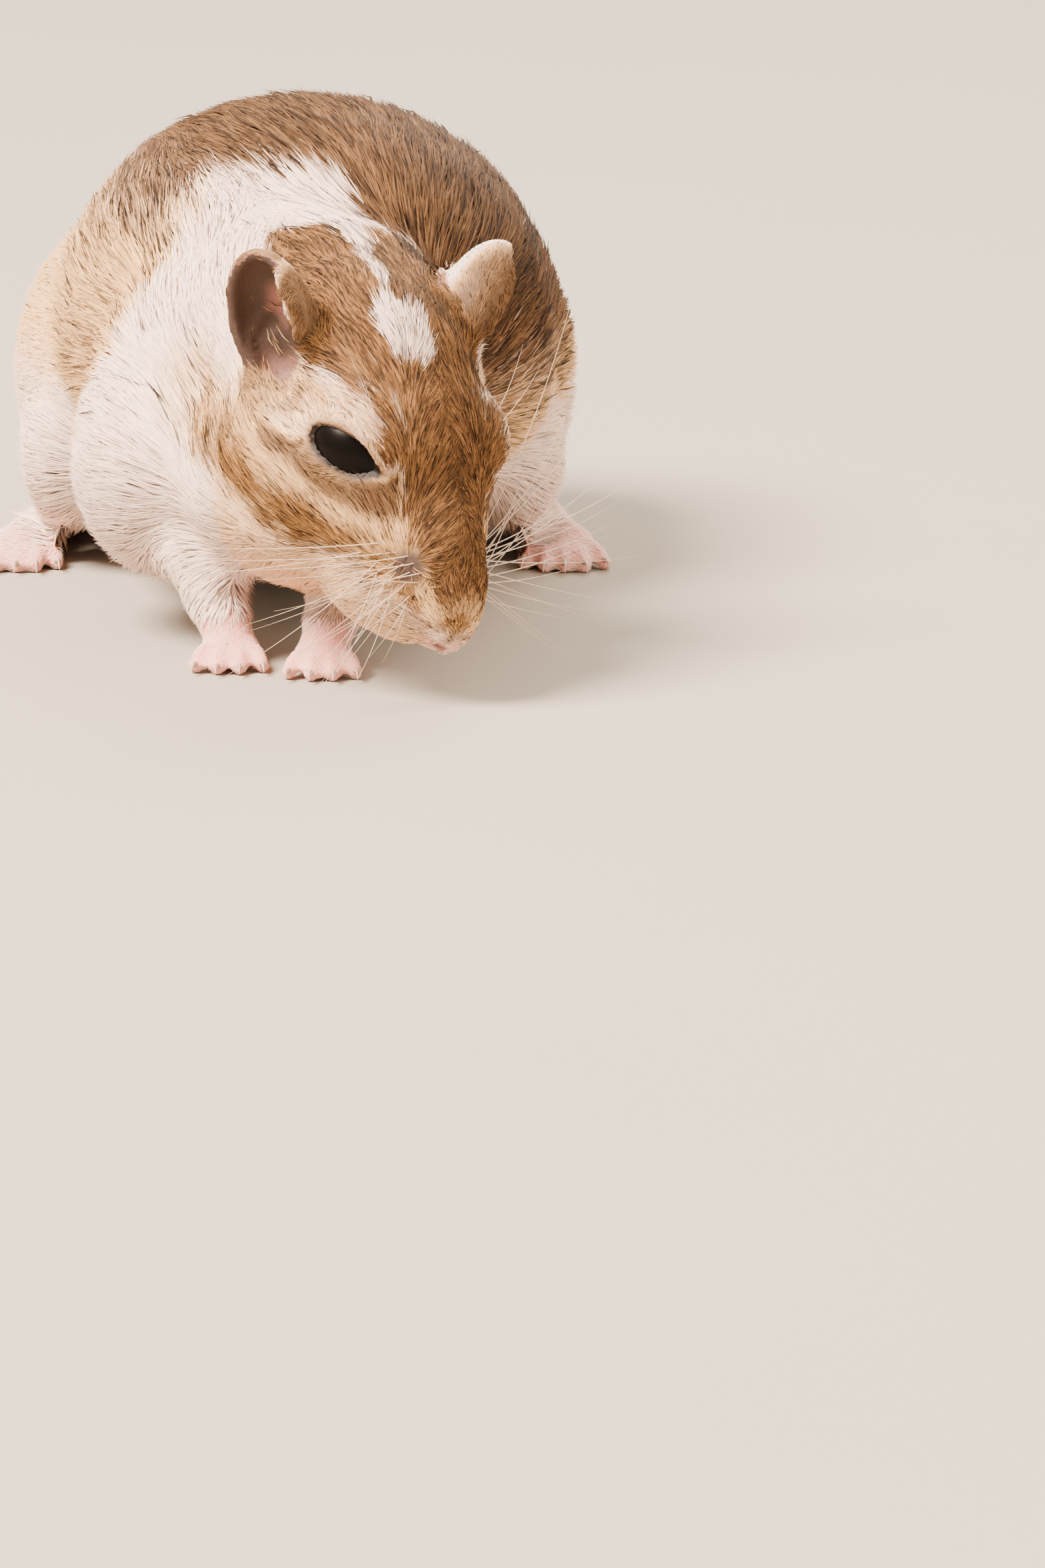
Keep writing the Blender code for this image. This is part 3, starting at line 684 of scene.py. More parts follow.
def brown_back(at):
    """(brown of the back and the tail, cream of the flanks, dark-tipped hairs at the collar's edge)"""
    x, y, z = at.x, at.y, at.z
    side_start = np.interp(x, (6, 8.5, 11), (-50.5, -55, -72))
    front_line = np.where(z > 24, side_start, side_start + (24 - z) * 0.35)
    right_line = np.interp(z, (17, 19, 24, 29, 33, 37), (-64, -63, -60, -58, -54, -51))
    front_line += (right_line - front_line) * step(3, -3, x)
    floor_line = np.where(x < 0, 17.5, 13.5) + 2 * step(-30, -15, y) - 6 * step(10, 30, y)
    haunch = at.of("thigh") * 1.0
    floor_line = floor_line + 8.5 * haunch * (x < 0) + 3.0 * haunch * (x > 0)
    back = step(-2.0, 2.0, y - front_line + at.wide) * step(-2.5, 2.5, z - floor_line + at.wide)
    back *= ~at.of("head", "nose", "jaw", "ear", "forearm", "forepaw", "shin", "hind_foot")
    flank = step(41, 28, z + at.wide) * step(3, -7, x) * step(14, -8, y) + 0.8 * step(25, 15, z + at.wide)
    back *= 1 - 0.6 * np.clip(flank, 0, 1)
    tail = at.of("tail_base", "tail_middle", "tail_tip") * 1.0
    back = np.maximum(back, tail * step(-3.4, -0.6, z - np.where(at.of("tail_base"), 4.6, 3.8)) * 0.9)
    border = step(9, 0, np.abs(y - front_line)) * step(16, 26, z) * ~at.of("head") * (y < front_line + 3)
    return back, flank, border


def white_marks(at):
    """The forehead spot, and the strip from it to the collar."""
    spot = np.hypot((at.along + 6.1) / 4.2, (at.sideways + 1.35) / 2.5) + 0.16 * at.fine
    white = step(1.1, 0.8, spot) * (at.up > 4) * at.on_head
    places = np.stack([at.along, at.sideways, at.up], 1)
    strip = np.array(WHITE_STRIP)
    for one, two in zip(strip, strip[1:]):
        start, run = one[:3], two[:3] - one[:3]
        offset = places - start
        t = np.clip(offset @ run / (run @ run), 0, 1)
        away = np.linalg.norm(offset - t[:, None] * run, axis=1) - (one[3] + (two[3] - one[3]) * t)
        white = np.maximum(white, step(0.35, -0.35, away + 0.3 * at.fine) * at.on_head)
    return white


def pale_rings(at, cap):
    """(the pale ring round each eye, the brow with it, whose greying is partly its own greyish hair and
    partly painted shade near the eye)
    """
    rings, brow = np.zeros(len(at.points)), np.zeros(len(at.points))
    for side in SIDES.values():
        x, y, z = eye_places(at.points, side).T
        around = slit_edge(x, y)
        reach = np.where(y > 0, 2.3, 0.6) + np.where(x < -2, 0.7, 0.0) * (y > -1)
        ring = step(0.6, -0.6, around - reach + 0.4 * at.fine) * before_eye(x, y, z, 8)
        ring *= step(0.0, -1.4, at.up - at.cap_line) * (1 if side < 0 else 0.5)
        rings = np.maximum(rings, ring)
        above = step(5.5, 3.0, around) * step(-2, 0, y) * before_eye(x, y, z, 9)
        brow = np.maximum(brow, above * (1 - cap))
    return rings, np.maximum(brow, rings)


def ear_fringes(at, side):
    """How white an ear's hairs are: along the fold of the right ear, and on the near half of the left one."""
    front, _, height = ear_places(at.points, side).T
    if side < 0:
        return step(1.1, 0.3, np.abs(ear_fold(front, height) - 0.6)) - 0.9 * step(1.9, 2.8, front)
    # On the left ear, the front edge is browned as painted shade.
    return 1.15 * step(2.4, 0.4, front) + 0.3 * step(1.5, 0, height) - 0.9 * step(2.2, 3.2, front)


def face_tones(at):
    """(tan patch under the eye, dull cheek behind it, pale muzzle)"""
    along, up = at.along, at.up
    under_eye = step(0.9, -0.9, up - EYE_UP - SLIT_RISE * (along - EYE_FORWARD) + at.edge)
    between = step(-0.5, 1.5, up - at.stripe_top) * step(0.5, -0.5, up - at.cap_line) * at.on_head
    tan = between * under_eye * step(-8, -4, along) * step(9, 6, along)
    cheek = between * step(-4, -8, along) * step(-16, -11, along)
    muzzle = step(5, 9, along) * at.on_head * step(-9.5, -7, up + 0.4 * np.maximum(along - 8, 0))
    return tan, cheek, muzzle


def pad_strands(at, muzzle):
    """(brown close round the whisker pad, brown strands that run out from it over the muzzle)"""
    forward, above = at.along - PAD[0], at.up - PAD[2]
    off_pad = np.hypot(above, forward)
    around_pad = step(3.0, 1.0, off_pad) * (at.out > 2.6) * at.on_head
    radial = 0.5 + 0.5 * np.sin(9 * np.arctan2(above, forward) + 2.5 * ripple(at.points, 2.5, 7))
    radial *= step(0.6, 1.5, off_pad)
    return around_pad, muzzle * (0.06 + 0.8 * radial**2 * step(-8, -4, at.up))


def hair_markings(points, kinds):
    """At each place the shares of white, gold, dull brown (with painted shade at the front of the cheek
    stripe), cream to tan and dark-tipped hairs, and their blend.
    """
    at = Places(points, kinds)
    along, up, on_head = at.along, at.up, at.on_head
    cap, stripe, white = brown_cap(at), cheek_stripe(at), white_marks(at)
    back, flank, border = brown_back(at)
    rings, brow = pale_rings(at, cap)
    tan, cheek, muzzle = face_tones(at)
    around_pad, from_pad = pad_strands(at, muzzle)
    off_seam = np.abs(up - at.stripe_top)
    on_seam = step(-14, -9, along) * step(9, 6, along) * on_head

    brown = np.maximum.reduce([cap, stripe, back])
    brown *= 1 - 0.45 * step(-9, -17, along) * (stripe > 0.1) * (cap < 0.1) * on_head
    thin_seam = step(2.6, 0.5, off_seam) * on_seam
    layers = [brown, 0.62 * tan, 0.22 * thin_seam, 0.4 * cheek, 0.55 * around_pad, from_pad]
    brown = np.maximum.reduce(layers)

    pale = np.clip(1 - brown + np.maximum(white, rings), 0, 1)
    # The ring and brow are greyed: partly their own greyish hair, partly painted shade near the eye.
    pale *= 1 - brow * (0.36 + 0.14 * at.fine + 0.1 * at.broad)
    gold = np.clip(stripe + 0.25 * cap + 0.8 * muzzle * (cap < 0.5) - 0.4 * tan, 0, 1)
    # Painted shade: the front of the cheek stripe also takes the back's dull brown.
    dull = np.clip(back * 0.9 + 0.9 * tan + 0.6 * cheek + 0.35 * stripe * step(-6, 0, along), 0, 1)
    cream = [0.5 * np.clip(at.of("thigh") * step(12, 24, at.z) + flank * (back > 0.1), 0, 1)]
    cream += [0.5 * stripe, tan, 0.75 * cheek, brow * (0.3 + 0.1 * at.fine)]
    cream += [0.6 * step(3.2, 0.5, off_seam) * on_seam * (cap < 0.3)]
    cream += [muzzle * (0.1 + 0.6 * step(-6.0, -3, up)), 0.3 * step(-3, -7, up) * at.of("head", "jaw")]
    cream = np.maximum.reduce(cream) + 0.08
    ticked = 0.42 * cap + 0.3 * stripe + 0.4 * back + 0.24 * tan + 0.26 * cheek + 0.012 + 0.2 * muzzle

    in_ear = at.of("ear")
    for side in SIDES.values():
        this = in_ear & (np.sign(at.sideways) == side)
        fringe = ear_fringes(at, side)
        pale[this] = (0.55 + 0.4 * fringe + 0.15 * at.fine)[this]
        cream[this] = (0.9 - 0.8 * fringe)[this]
        dull[this] = 1
        ticked[this] = 0.0
    cream = np.clip(cream, 0, 1)
    blend = np.clip(1.5 * (stripe + tan + cheek + muzzle) * (white < 0.5), 0, 1) * (cap < 0.5)
    blend = np.maximum.reduce([blend, 0.7 * np.clip(flank * back * 2, 0, 1), in_ear, brow * (cap < 0.5)])
    ticked = np.clip(ticked + 0.12 * border, 0, 0.6) * (1 - 0.5 * pale) + 0.07 * brow
    ticked = np.where(at.of("tail_tip"), 1.7, ticked)
    return np.stack([pale, gold, dull, cream, ticked, blend], 1)


def bare_skin(points, kinds, normals):
    """How far the skin shows pink, dark taupe, and the dark of the lid edges, with painted shade in the
    nostrils and ear canals, at each vertex.
    """
    places = head_places(points)
    pink = np.isin(kinds, ("forepaw", "hind_foot")) * 1.0
    taupe, rim = np.zeros(len(points)), np.zeros(len(points))
    for side in SIDES.values():
        front, _, height = ear_places(points, side).T
        off_fold = ear_fold(front, height)
        inner = inside_ear(points, kinds, normals, side) * step(0.5, -0.3, off_fold)
        blotch = 0.8 * ripple(points, 2.5, 5)
        streak = step(2.0, 0.4, np.abs(off_fold + 0.7)) * step(3.0, 4.5, height) * step(8.5, 6.5, height)
        taupe = np.maximum(taupe, inner * (1 - 0.35 * streak - 0.2 * step(2.5, 0.5, height + blotch)))
        pink = np.maximum(pink, inner)
        # Painted shade: the ear canal's hollow is painted with the dark colour of the lid edges.
        canal = np.hypot(off_fold + 0.9, 0.6 * (height - 3.0)) + 0.3 * blotch
        rim = np.maximum(rim, 0.9 * inner * step(1.4, 0.5, canal))
        x, y, z = eye_places(points, side).T
        rim = np.maximum(rim, step(0.4, 0.0, slit_edge(x, y)) * before_eye(x, y, z, 6))
        # Painted shade: each nostril's opening is painted with the dark colour of the lid edges, ringed by
        # pink skin.
        nostril = distance(places, NOSTRIL, side, (1.1, 0.8, 0.6))
        rim = np.maximum(rim, step(1.2, 0.6, nostril))
        pink = np.maximum(pink, 0.8 * step(1.9, 1.2, nostril))
        taupe = np.maximum(taupe, step(2.0, 0.9, distance(places, PAD, side)))
    return np.stack([pink, taupe, rim, np.ones(len(points))], 1)


def set_colours(mesh, name, values):
    """A colour for each vertex, kept under this name."""
    layer = mesh.color_attributes.new(name, "FLOAT_COLOR", "POINT")
    layer.data.foreach_set("color", np.ascontiguousarray(values, np.float32).ravel())


class Body:
    """What the coat grows on: the skin's surface with its kinds of part, lie, sizes and markings."""

    skin = None

    def __init__(self, mesh):
        self.surface = Surface(mesh)
        points = self.surface.points
        self.kinds = nearest_kinds(points)
        self.lie = lie_of(self.surface, self.kinds)
        self.sizes = coat_sizes(self.surface, self.kinds)
        outside = points + self.surface.normals * self.sizes[:, :1]
        self.marks = hair_markings(outside, self.kinds)
        self.bare = bare_skin(points, self.kinds, self.surface.normals)
        self.rows = self.surface.table()
        self.normals = unit(self.surface.smooth(self.surface.normals, 4))
        self.places = head_places(points)
        self.thin_out()

    def thin_out(self):
        """Fewer or no hairs on bare skin: in the ears, on the lids and nostrils, and on the whisker pads."""
        hairs = self.sizes[:, 3]
        hairs *= 1 - 0.985 * np.clip(self.bare[:, 0], 0, 1) * ~self.of("forepaw", "hind_foot")
        for side in SIDES.values():
            x, y, z = eye_places(self.surface.points, side).T
            hairs[(slit_edge(x, y) < 0.3) & before_eye(x, y, z, 6)] = 0
        hairs[self.bare[:, 2] > 0.6] *= 0.1
        for side in SIDES.values():
            hairs *= 1 - 0.9 * step(2.0, 1.0, distance(self.places, PAD, side))

    def of(self, *kinds):
        return np.isin(self.kinds, kinds)

    def walk(self, start, target, steps):
        """For each target place, the skin vertex nearest to it, found by stepping from start."""
        at = start.copy()
        for _ in range(steps):
            around = self.rows[at]
            gap = np.linalg.norm(self.surface.points[around] - target[:, None], axis=2)
            best = around[np.arange(len(at)), gap.argmin(1)]
            own = np.linalg.norm(self.surface.points[at] - target, axis=1)
            at = np.where(gap.min(1) < own, best, at)
        return at

    def streaks(self):
        """Light and dark lines along the lie of the coat, from 0 to 1."""
        rng = np.random.default_rng(SEED)
        shade = rng.random(self.surface.size)
        behind = self.walk(np.arange(self.surface.size), self.surface.points - self.lie * 0.5, 3)
        for _ in range(8):
            shade = 0.5 * shade + 0.5 * shade[behind]
        shade = (shade - shade.mean()) / shade.std()
        return np.clip(0.5 + 0.25 * shade, 0, 1)


# The triangles of one hair, facing out: point 0 is the root, 1 to 3 the ring, and 4 the tip.
RING = ((0, 1), (1, 2), (2, 0))
HAIR_FACES = [(0, 1 + b, 1 + a) for a, b in RING] + [(1 + a, 1 + b, 4) for a, b in RING]


def faces_in(body, region):
    """Numbers of the skin's faces that belong to a region of its vertices."""
    return np.nonzero(region[body.surface.faces[:, 0]])[0]


class Hairs:
    """The hairs of one region as arrays: each one's path from root to tip, its width and its markings."""

    def __init__(self, body, region, rng):
        self.body, self.rng = body, rng
        corners = self.spread(region)

        def mixed(values):
            return (values[corners] * self.weights[:, :, None]).sum(1)

        place, normal = mixed(body.surface.points), unit(mixed(body.normals))
        lie = unit(tangent(mixed(body.lie), normal))
        depth, length = self.vary(*mixed(body.sizes).T)
        self.path, self.ups = [place - normal * 0.12], [normal]
        start = corners[np.arange(self.count), self.weights.argmax(1)]
        self.lay(place, start, self.swing(place, normal, lie), depth, length)
        self.dark = rng.random(self.count) < self.marks[:, 4] * np.where(self.guard, 0.9, 0.5)
        self.width *= np.where(self.dark, 1.3, 1)
        self.path[1] = self.path[1] + self.ups[1] * (0.15 * depth * self.dark)[:, None]
        self.clump()
        self.across = unit(np.cross(self.ups[1], self.path[2] - self.path[0]))

    def spread(self, region):
        """Picks where the hairs stand, and gives the corners of the face under each."""
        rng, surface = self.rng, self.body.surface
        numbers = faces_in(self.body, region)
        faces = surface.faces[numbers]
        heaped = np.cumsum(self.body.sizes[faces, 3].mean(1) * surface.areas[numbers])
        self.count = count = int(heaped[-1])
        picks = np.searchsorted(heaped, np.arange(count) + rng.random(count) * 0.98)
        self.picks = np.minimum(picks, len(faces) - 1)
        one, two = np.sqrt(rng.random(count)), rng.random(count)
        self.weights = np.stack([1 - one, one * (1 - two), one * two], 1)
        return faces[self.picks]

    def vary(self, depth, length, width, _):
        """Makes each hair's depth, length and width its own; a few are guard hairs, longer and thinner."""
        rng, count = self.rng, self.count
        self.guard = rng.random(count) > 0.94
        longer = np.where(self.guard, 1.15, 1)
        depth = depth * (0.45 + 0.6 * rng.random(count)) * longer
        length = length * (0.7 + 0.45 * rng.random(count)) * longer
        self.width = width * (0.75 + 0.5 * rng.random(count)) * np.where(self.guard, 0.7, 1)
        return depth, length

    def swing(self, place, normal, lie):
        """The way each hair leaves its root: the lie, turned a little to one side."""
        turn = 0.30 * ripple(place, 6.0, 3) + 0.16 * ripple(place, 2.2, 4)
        turn += self.rng.normal(0, 0.14, self.count)
        return lie * np.cos(turn)[:, None] + np.cross(normal, lie) * np.sin(turn)[:, None]

    def lay(self, place, at, aim, depth, length):
        """Bends every hair over the skin, stretch by stretch, from the vertex at its root."""
        body, self.marks = self.body, None
        steps = int(np.ceil(length.max() * max(share for share, _ in HAIR_STRETCHES) / 0.3)) + 2
        for share, rise in HAIR_STRETCHES:
            target = place + aim * (length * share)[:, None]
            at = body.walk(at, target, steps)
            above = body.normals[at]
            place = target - above * ((target - body.surface.points[at]) * above).sum(1)[:, None]
            self.path.append(place + above * (depth * rise)[:, None])
            self.ups.append(above)
            aim = unit(tangent(0.75 * aim + 0.25 * body.lie[at], above))
            if self.marks is None:
                self.marks = body.marks[at]

    def clump(self):
        """Draws the tips together in small locks, as clean fur falls."""
        leaders = self.rng.choice(self.count, max(self.count // 10, 1), replace=False)
        tree = KDTree(len(leaders))
        for number, leader in enumerate(leaders):
            tree.insert(self.path[1][leader], number)
        tree.balance()
        self.owner = leaders[np.array([tree.find(p)[1] for p in self.path[1].tolist()])]
        pull = 0.38 * self.rng.random(self.count) * ~self.guard
        for point, strength in ((2, 1.0), (1, 0.45)):
            towards = self.path[point][self.owner] - self.path[point]
            self.path[point] = self.path[point] + towards * (pull * strength)[:, None]

    def points(self):
        """Every hair's five points in one array."""
        half = self.width[:, None] / 2
        root, bend, tip = self.path
        ring = [bend - self.across * half, bend + self.across * half, bend + self.ups[1] * half * 1.1]
        points = np.stack([root, *ring, tip], 1)
        points[:, :, 2] = np.maximum(points[:, :, 2], HAIR_LOWEST)
        return points

    def normals(self):
        """Soft normals that follow the body, so that the coat takes light as one rounded form."""
        above, across = self.ups[1], self.across * 0.45
        ring = [unit(above - across), unit(above + across), unit(above)]
        return np.stack([self.ups[0], *ring, self.ups[2]], 1)

    def colours(self):
        """(markings, hair shades) for every point of every hair."""
        rng, of_a_hair = self.rng, len(ALONG_HAIR)
        pale, gold, dull, cream, _, blend = self.marks.T
        chance = rng.normal(0, 0.14, self.count)
        sorted_out = step(-0.22, 0.22, pale - 0.5 + chance)
        pale = sorted_out + blend * (np.clip(pale + chance, 0, 1) - sorted_out)
        marks = np.repeat(np.stack([pale, gold, dull, cream], 1)[:, None], of_a_hair, 1)
        shades = np.ones((self.count, of_a_hair, 4))
        shades[:, :, 0] = ALONG_HAIR
        shade = 0.6 * rng.random(self.count)[self.owner] + 0.4 * rng.random(self.count)
        shades[:, :, 1] = (shade ** np.where(pale > 0.5, 0.8, 1.7))[:, None]
        shades[:, :, 2] = (self.dark * (0.6 + 0.4 * rng.random(self.count)))[:, None]
        return marks, shades


def unwrapped(body, region):
    """The places of a region's face corners on an unwrap of the skin, spread over the whole map."""
    faces = body.surface.faces[faces_in(body, region)]
    used, faces = np.unique(faces, return_inverse=True)
    mesh = bpy.data.meshes.new("unwrap")
    fill(mesh, body.surface.points[used] * MM, faces.reshape(-1, 3))
    patch = placed("unwrap", mesh)
    bpy.ops.object.select_all(action="DESELECT")
    bpy.context.view_layer.objects.active = patch
    patch.select_set(True)
    mesh.uv_layers.new(name="flat")
    bpy.ops.object.mode_set(mode="EDIT")
    bpy.ops.mesh.select_all(action="SELECT")
    bpy.ops.uv.smart_project(angle_limit=math.radians(66), island_margin=0.002)
    bpy.ops.object.mode_set(mode="OBJECT")
    places = rows_of(mesh.uv_layers["flat"].uv, "vector", 2, np.float32)
    bpy.data.objects.remove(patch)
    bpy.data.meshes.remove(mesh)
    return places.reshape(-1, 3, 2)


def fill(mesh, points, faces):
    """Gives an empty mesh these points and triangles."""
    mesh.vertices.add(len(points))
    mesh.vertices.foreach_set("co", np.ascontiguousarray(points, np.float32).ravel())
    mesh.loops.add(faces.size)
    mesh.loops.foreach_set("vertex_index", np.ascontiguousarray(faces, np.int32).ravel())
    mesh.polygons.add(len(faces))
    mesh.polygons.foreach_set("loop_start", np.arange(0, faces.size, 3, dtype=np.int32))
    mesh.polygons.foreach_set("use_smooth", np.ones(len(faces), bool))
    mesh.update(calc_edges=True)


def grow(name, region, seed):
    """One piece of the coat, rooted on the skin vertices that region marks."""
    body = Body.skin
    hairs = Hairs(body, region, np.random.default_rng(SEED + seed))
    points = hairs.points()
    faces = (np.arange(hairs.count)[:, None, None] * len(ALONG_HAIR) + np.array(HAIR_FACES)).reshape(-1, 3)
    mesh = bpy.data.meshes.new(name)
    fill(mesh, points.reshape(-1, 3) * MM, faces)
    marks, shades = hairs.colours()
    set_colours(mesh, "marks", marks)
    set_colours(mesh, "hair", shades)

    roots = (unwrapped(body, region)[hairs.picks] * hairs.weights[:, :, None]).sum(1)
    patch = np.array(((-0.5, 0), (-0.1, -0.5), (-0.1, 0), (-0.1, 0.5), (0.5, 0))) * PATCH
    spots = (roots[:, None] + patch).reshape(-1, 2)[faces.ravel()]
    mesh.uv_layers.new(name="OFBake")
    mesh.uv_layers["OFBake"].uv.foreach_set("vector", spots.astype(np.float32).ravel())
    mesh.materials.append(coat_material())
    mesh.normals_split_custom_set_from_vertices(hairs.normals().reshape(-1, 3).tolist())
    coat = placed(name, mesh)
    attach(coat, "root")
    print(name, hairs.count, "hairs", len(faces), "triangles")


def strands(name, paths, roundness=0, cyclic=False):
    """A mesh of round tapering strands, each a list of (place in metres, radius in metres)."""
    curve = bpy.data.curves.new(name, "CURVE")
    curve.dimensions = "3D"
    curve.bevel_depth = 1.0
    curve.bevel_resolution = roundness
    curve.use_fill_caps = not cyclic
    curve.resolution_u = 4
    for path in paths:
        spline = curve.splines.new("POLY")
        spline.points.add(len(path) - 1)
        spline.use_cyclic_u = cyclic
        for point, (place, radius) in zip(spline.points, path):
            point.co = (*place, 1)
            point.radius = radius
    mesh = with_modifiers(placed(name, curve))
    bm = bmesh.new()
    bm.from_mesh(mesh)
    bmesh.ops.recalc_face_normals(bm, faces=bm.faces)
    for face in bm.faces:
        face.smooth = True
    for vertex in bm.verts:
        vertex.co.z = max(vertex.co.z, STRAND_LOWEST * MM)
    bm.to_mesh(mesh)
    bm.free()
    return placed(name, mesh)


def add(tree, kind, values=None, **settings):
    """A node with its settings; values are its inputs by name or number: plain values, or sockets to link."""
    node = tree.nodes.new(kind)
    for key, value in settings.items():
        setattr(node, key, value)
    for key, value in (values or {}).items():
        if isinstance(value, bpy.types.NodeSocket):
            tree.links.new(value, node.inputs[key])
        else:
            node.inputs[key].default_value = value
    return node


def laid(tree, share, over, under):
    """The colour that one colour makes when this share of it is laid over another."""
    return add(tree, "ShaderNodeMix", {0: share, 6: under, 7: over}, data_type="RGBA").outputs[2]


def grain(tree, size, kind="ShaderNodeTexNoise"):
    """A texture of this kind, whose grains are about this many mm across."""
    place = add(tree, "ShaderNodeTexCoord").outputs["Object"]
    return add(tree, kind, {"Vector": place, "Scale": 1 / (size * MM)}).outputs[0]


def paint(name):
    """One of the panel's colours, ready for a node."""
    return (*getattr(bpy.context.scene.gerbil_colours, name), 1)


def new_material(name, settings):
    """(material, its node tree, its shader's colour socket); settings are the shader's inputs by name."""
    made = bpy.data.materials.new(name)
    made.use_nodes = True
    shader = made.node_tree.nodes["Principled BSDF"]
    for key, value in settings.items():
        shader.inputs[key].default_value = value
    return made, made.node_tree, shader.inputs["Base Color"]


def marked_colour(tree):
    """(the coat's colour from its markings: brown or gold, or white to cream and tan; its share of white)"""
    marks = add(tree, "ShaderNodeAttribute", attribute_name="marks")
    pale, gold, dull = add(tree, "ShaderNodeSeparateColor", {0: marks.outputs["Color"]}).outputs
    creamy = add(tree, "ShaderNodeMapRange", {0: marks.outputs["Alpha"], 1: 0.0, 2: 0.5})
    tanned = add(tree, "ShaderNodeMapRange", {0: marks.outputs["Alpha"], 1: 0.5, 2: 1.0})
    brown, light = paint("head_brown"), paint("white")
    for share, over in ((gold, "cheek_gold"), (dull, "back_brown")):
        brown = laid(tree, share, paint(over), brown)
    for share, over in ((creamy.outputs[0], "cream"), (tanned.outputs[0], "tan")):
        light = laid(tree, share, paint(over), light)
    return laid(tree, pale, light, brown), pale


def coat_material():
    """Gerbil hair: grey roots, a golden or white shaft and, on ticked hairs, a dark brown tip.
    It gives the eye the salt-and-pepper grain of an agouti coat."""
    known = bpy.data.materials.get("agouti_and_white_hair")
    if known:
        return known
    made, tree, surface = new_material("agouti_and_white_hair", {"Roughness": 0.7, "Specular IOR Level": 0.1})
    colour, pale = marked_colour(tree)
    hair = add(tree, "ShaderNodeAttribute", attribute_name="hair")
    along, chance, tick = add(tree, "ShaderNodeSeparateColor", {0: hair.outputs["Color"]}).outputs
    lightest = add(tree, "ShaderNodeMapRange", {0: pale, 3: 1.7, 4: 1.08})
    value = add(tree, "ShaderNodeMapRange", {0: chance, 3: 0.68, 4: lightest.outputs[0]})
    colour = add(tree, "ShaderNodeHueSaturation", {"Value": value.outputs[0], "Color": colour}).outputs[0]
    rooted = add(tree, "ShaderNodeMapRange", {0: along, 1: 0.0, 2: 0.5, 3: 0.35, 4: 0.0})
    brown = add(tree, "ShaderNodeMath", {0: 1.0, 1: pale}, operation="SUBTRACT")
    tipped = add(tree, "ShaderNodeMapRange", {0: along, 1: 0.1, 2: 0.5, 3: 0.0, 4: 1.0})
    rooted = add(tree, "ShaderNodeMath", {0: brown.outputs[0], 1: rooted.outputs[0]}, operation="MULTIPLY")
    tipped = add(tree, "ShaderNodeMath", {0: tipped.outputs[0], 1: tick}, operation="MULTIPLY")
    for share, over in ((rooted.outputs[0], "root_grey"), (tipped.outputs[0], "tick_brown")):
        colour = laid(tree, share, paint(over), colour)
    tree.links.new(colour, surface)
    return made


def skin_material():
    """Living skin under short hair: pink on the toes and in the ears, dark at the lids, and painted dark as
    shade in the nostrils and ear canals.
    Where the coat covers it, it has the coat's colours with fine streaks of underfur, darkened to 0.6 to 0.9:
    partly the darker underfur, partly painted shade in the gaps between the hairs."""
    settings = {"Roughness": 0.55, "Specular IOR Level": 0.2, "Subsurface Weight": 0.15}
    settings |= {"Subsurface Radius": (1.0, 0.4, 0.25), "Subsurface Scale": 0.8 * MM}
    made, tree, surface = new_material("soft_skin_under_fur", settings)
    bare = add(tree, "ShaderNodeAttribute", attribute_name="bare")
    pink, taupe, rim = add(tree, "ShaderNodeSeparateColor", {0: bare.outputs["Color"]}).outputs
    streak = add(tree, "ShaderNodeAttribute", attribute_name="streak")
    # Painted shade: the coat's colour under the hairs is darkened to 0.6 to 0.9 along the streaks, partly as
    # darker underfur and partly as shade in the gaps between hairs.
    value = add(tree, "ShaderNodeMapRange", {0: streak.outputs["Fac"], 3: 0.6, 4: 0.9})
    under = add(tree, "ShaderNodeHueSaturation", {"Value": value.outputs[0], "Color": marked_colour(tree)[0]})
    # Blood shows through thin skin in blotches of about 1.5 mm.
    flesh = laid(tree, grain(tree, 1.5), paint("skin_deep"), paint("skin_pink"))
    colour = under.outputs[0]
    # The dark rim colour is the lids' own dark edge, and painted shade in the nostrils and ear canals.
    for share, over in ((pink, flesh), (taupe, paint("ear_taupe")), (rim, paint("lid_dark_and_hollow_shade"))):
        colour = laid(tree, share, over, colour)
    tree.links.new(colour, surface)
    # Creases of the skin are about 0.6 mm apart and its pores about 0.35 mm.
    creases, pores = grain(tree, 0.6), grain(tree, 0.35, "ShaderNodeTexVoronoi")
    height = add(tree, "ShaderNodeMath", {0: pores, 1: creases}, operation="ADD")
    bump = add(tree, "ShaderNodeBump", {"Height": height.outputs[0], "Distance": 0.04 * MM, "Strength": 0.6})
    tree.links.new(bump.outputs[0], surface.node.inputs["Normal"])
    return made


def grained_material(name, settings, size, first, second):
    """A surface whose colour drifts between two, with a grain of this size in mm."""
    made, tree, surface = new_material(name, settings)
    tree.links.new(laid(tree, grain(tree, size), (*linear(second), 1), paint(first)), surface)
    return made


def eye_material():
    """A wet cornea over a nearly black iris: deep brown-black with one soft highlight."""
    # Iris fibres are about 0.3 mm apart.
    settings = {"Roughness": 0.27, "Specular IOR Level": 0.08}
    return grained_material("wet_dark_eye", settings, 0.3, "eye_black", "#0c0705")


def lid_material():
    """Hairless edge of the eyelid: dark, slightly moist skin."""
    # Its folds are about 0.4 mm apart.
    return grained_material("moist_lid_edge", {"Roughness": 0.35}, 0.4, "lid_dark_and_hollow_shade", "#6d4c3d")


def claw_material():
    """Translucent horn: milky beige with a fine grain."""
    # The grain is about 0.3 mm across.
    return grained_material("horn_claw", {"Roughness": 0.35}, 0.3, "claw_horn", "#8d6a58")


def whisker_material():
    """Stiff whisker hair: smooth and pale, with a soft shine."""
    # The shade drifts over about 6 mm along each whisker.
    return grained_material("stiff_whisker", {"Roughness": 0.4}, 6, "whisker", "#b89a80")


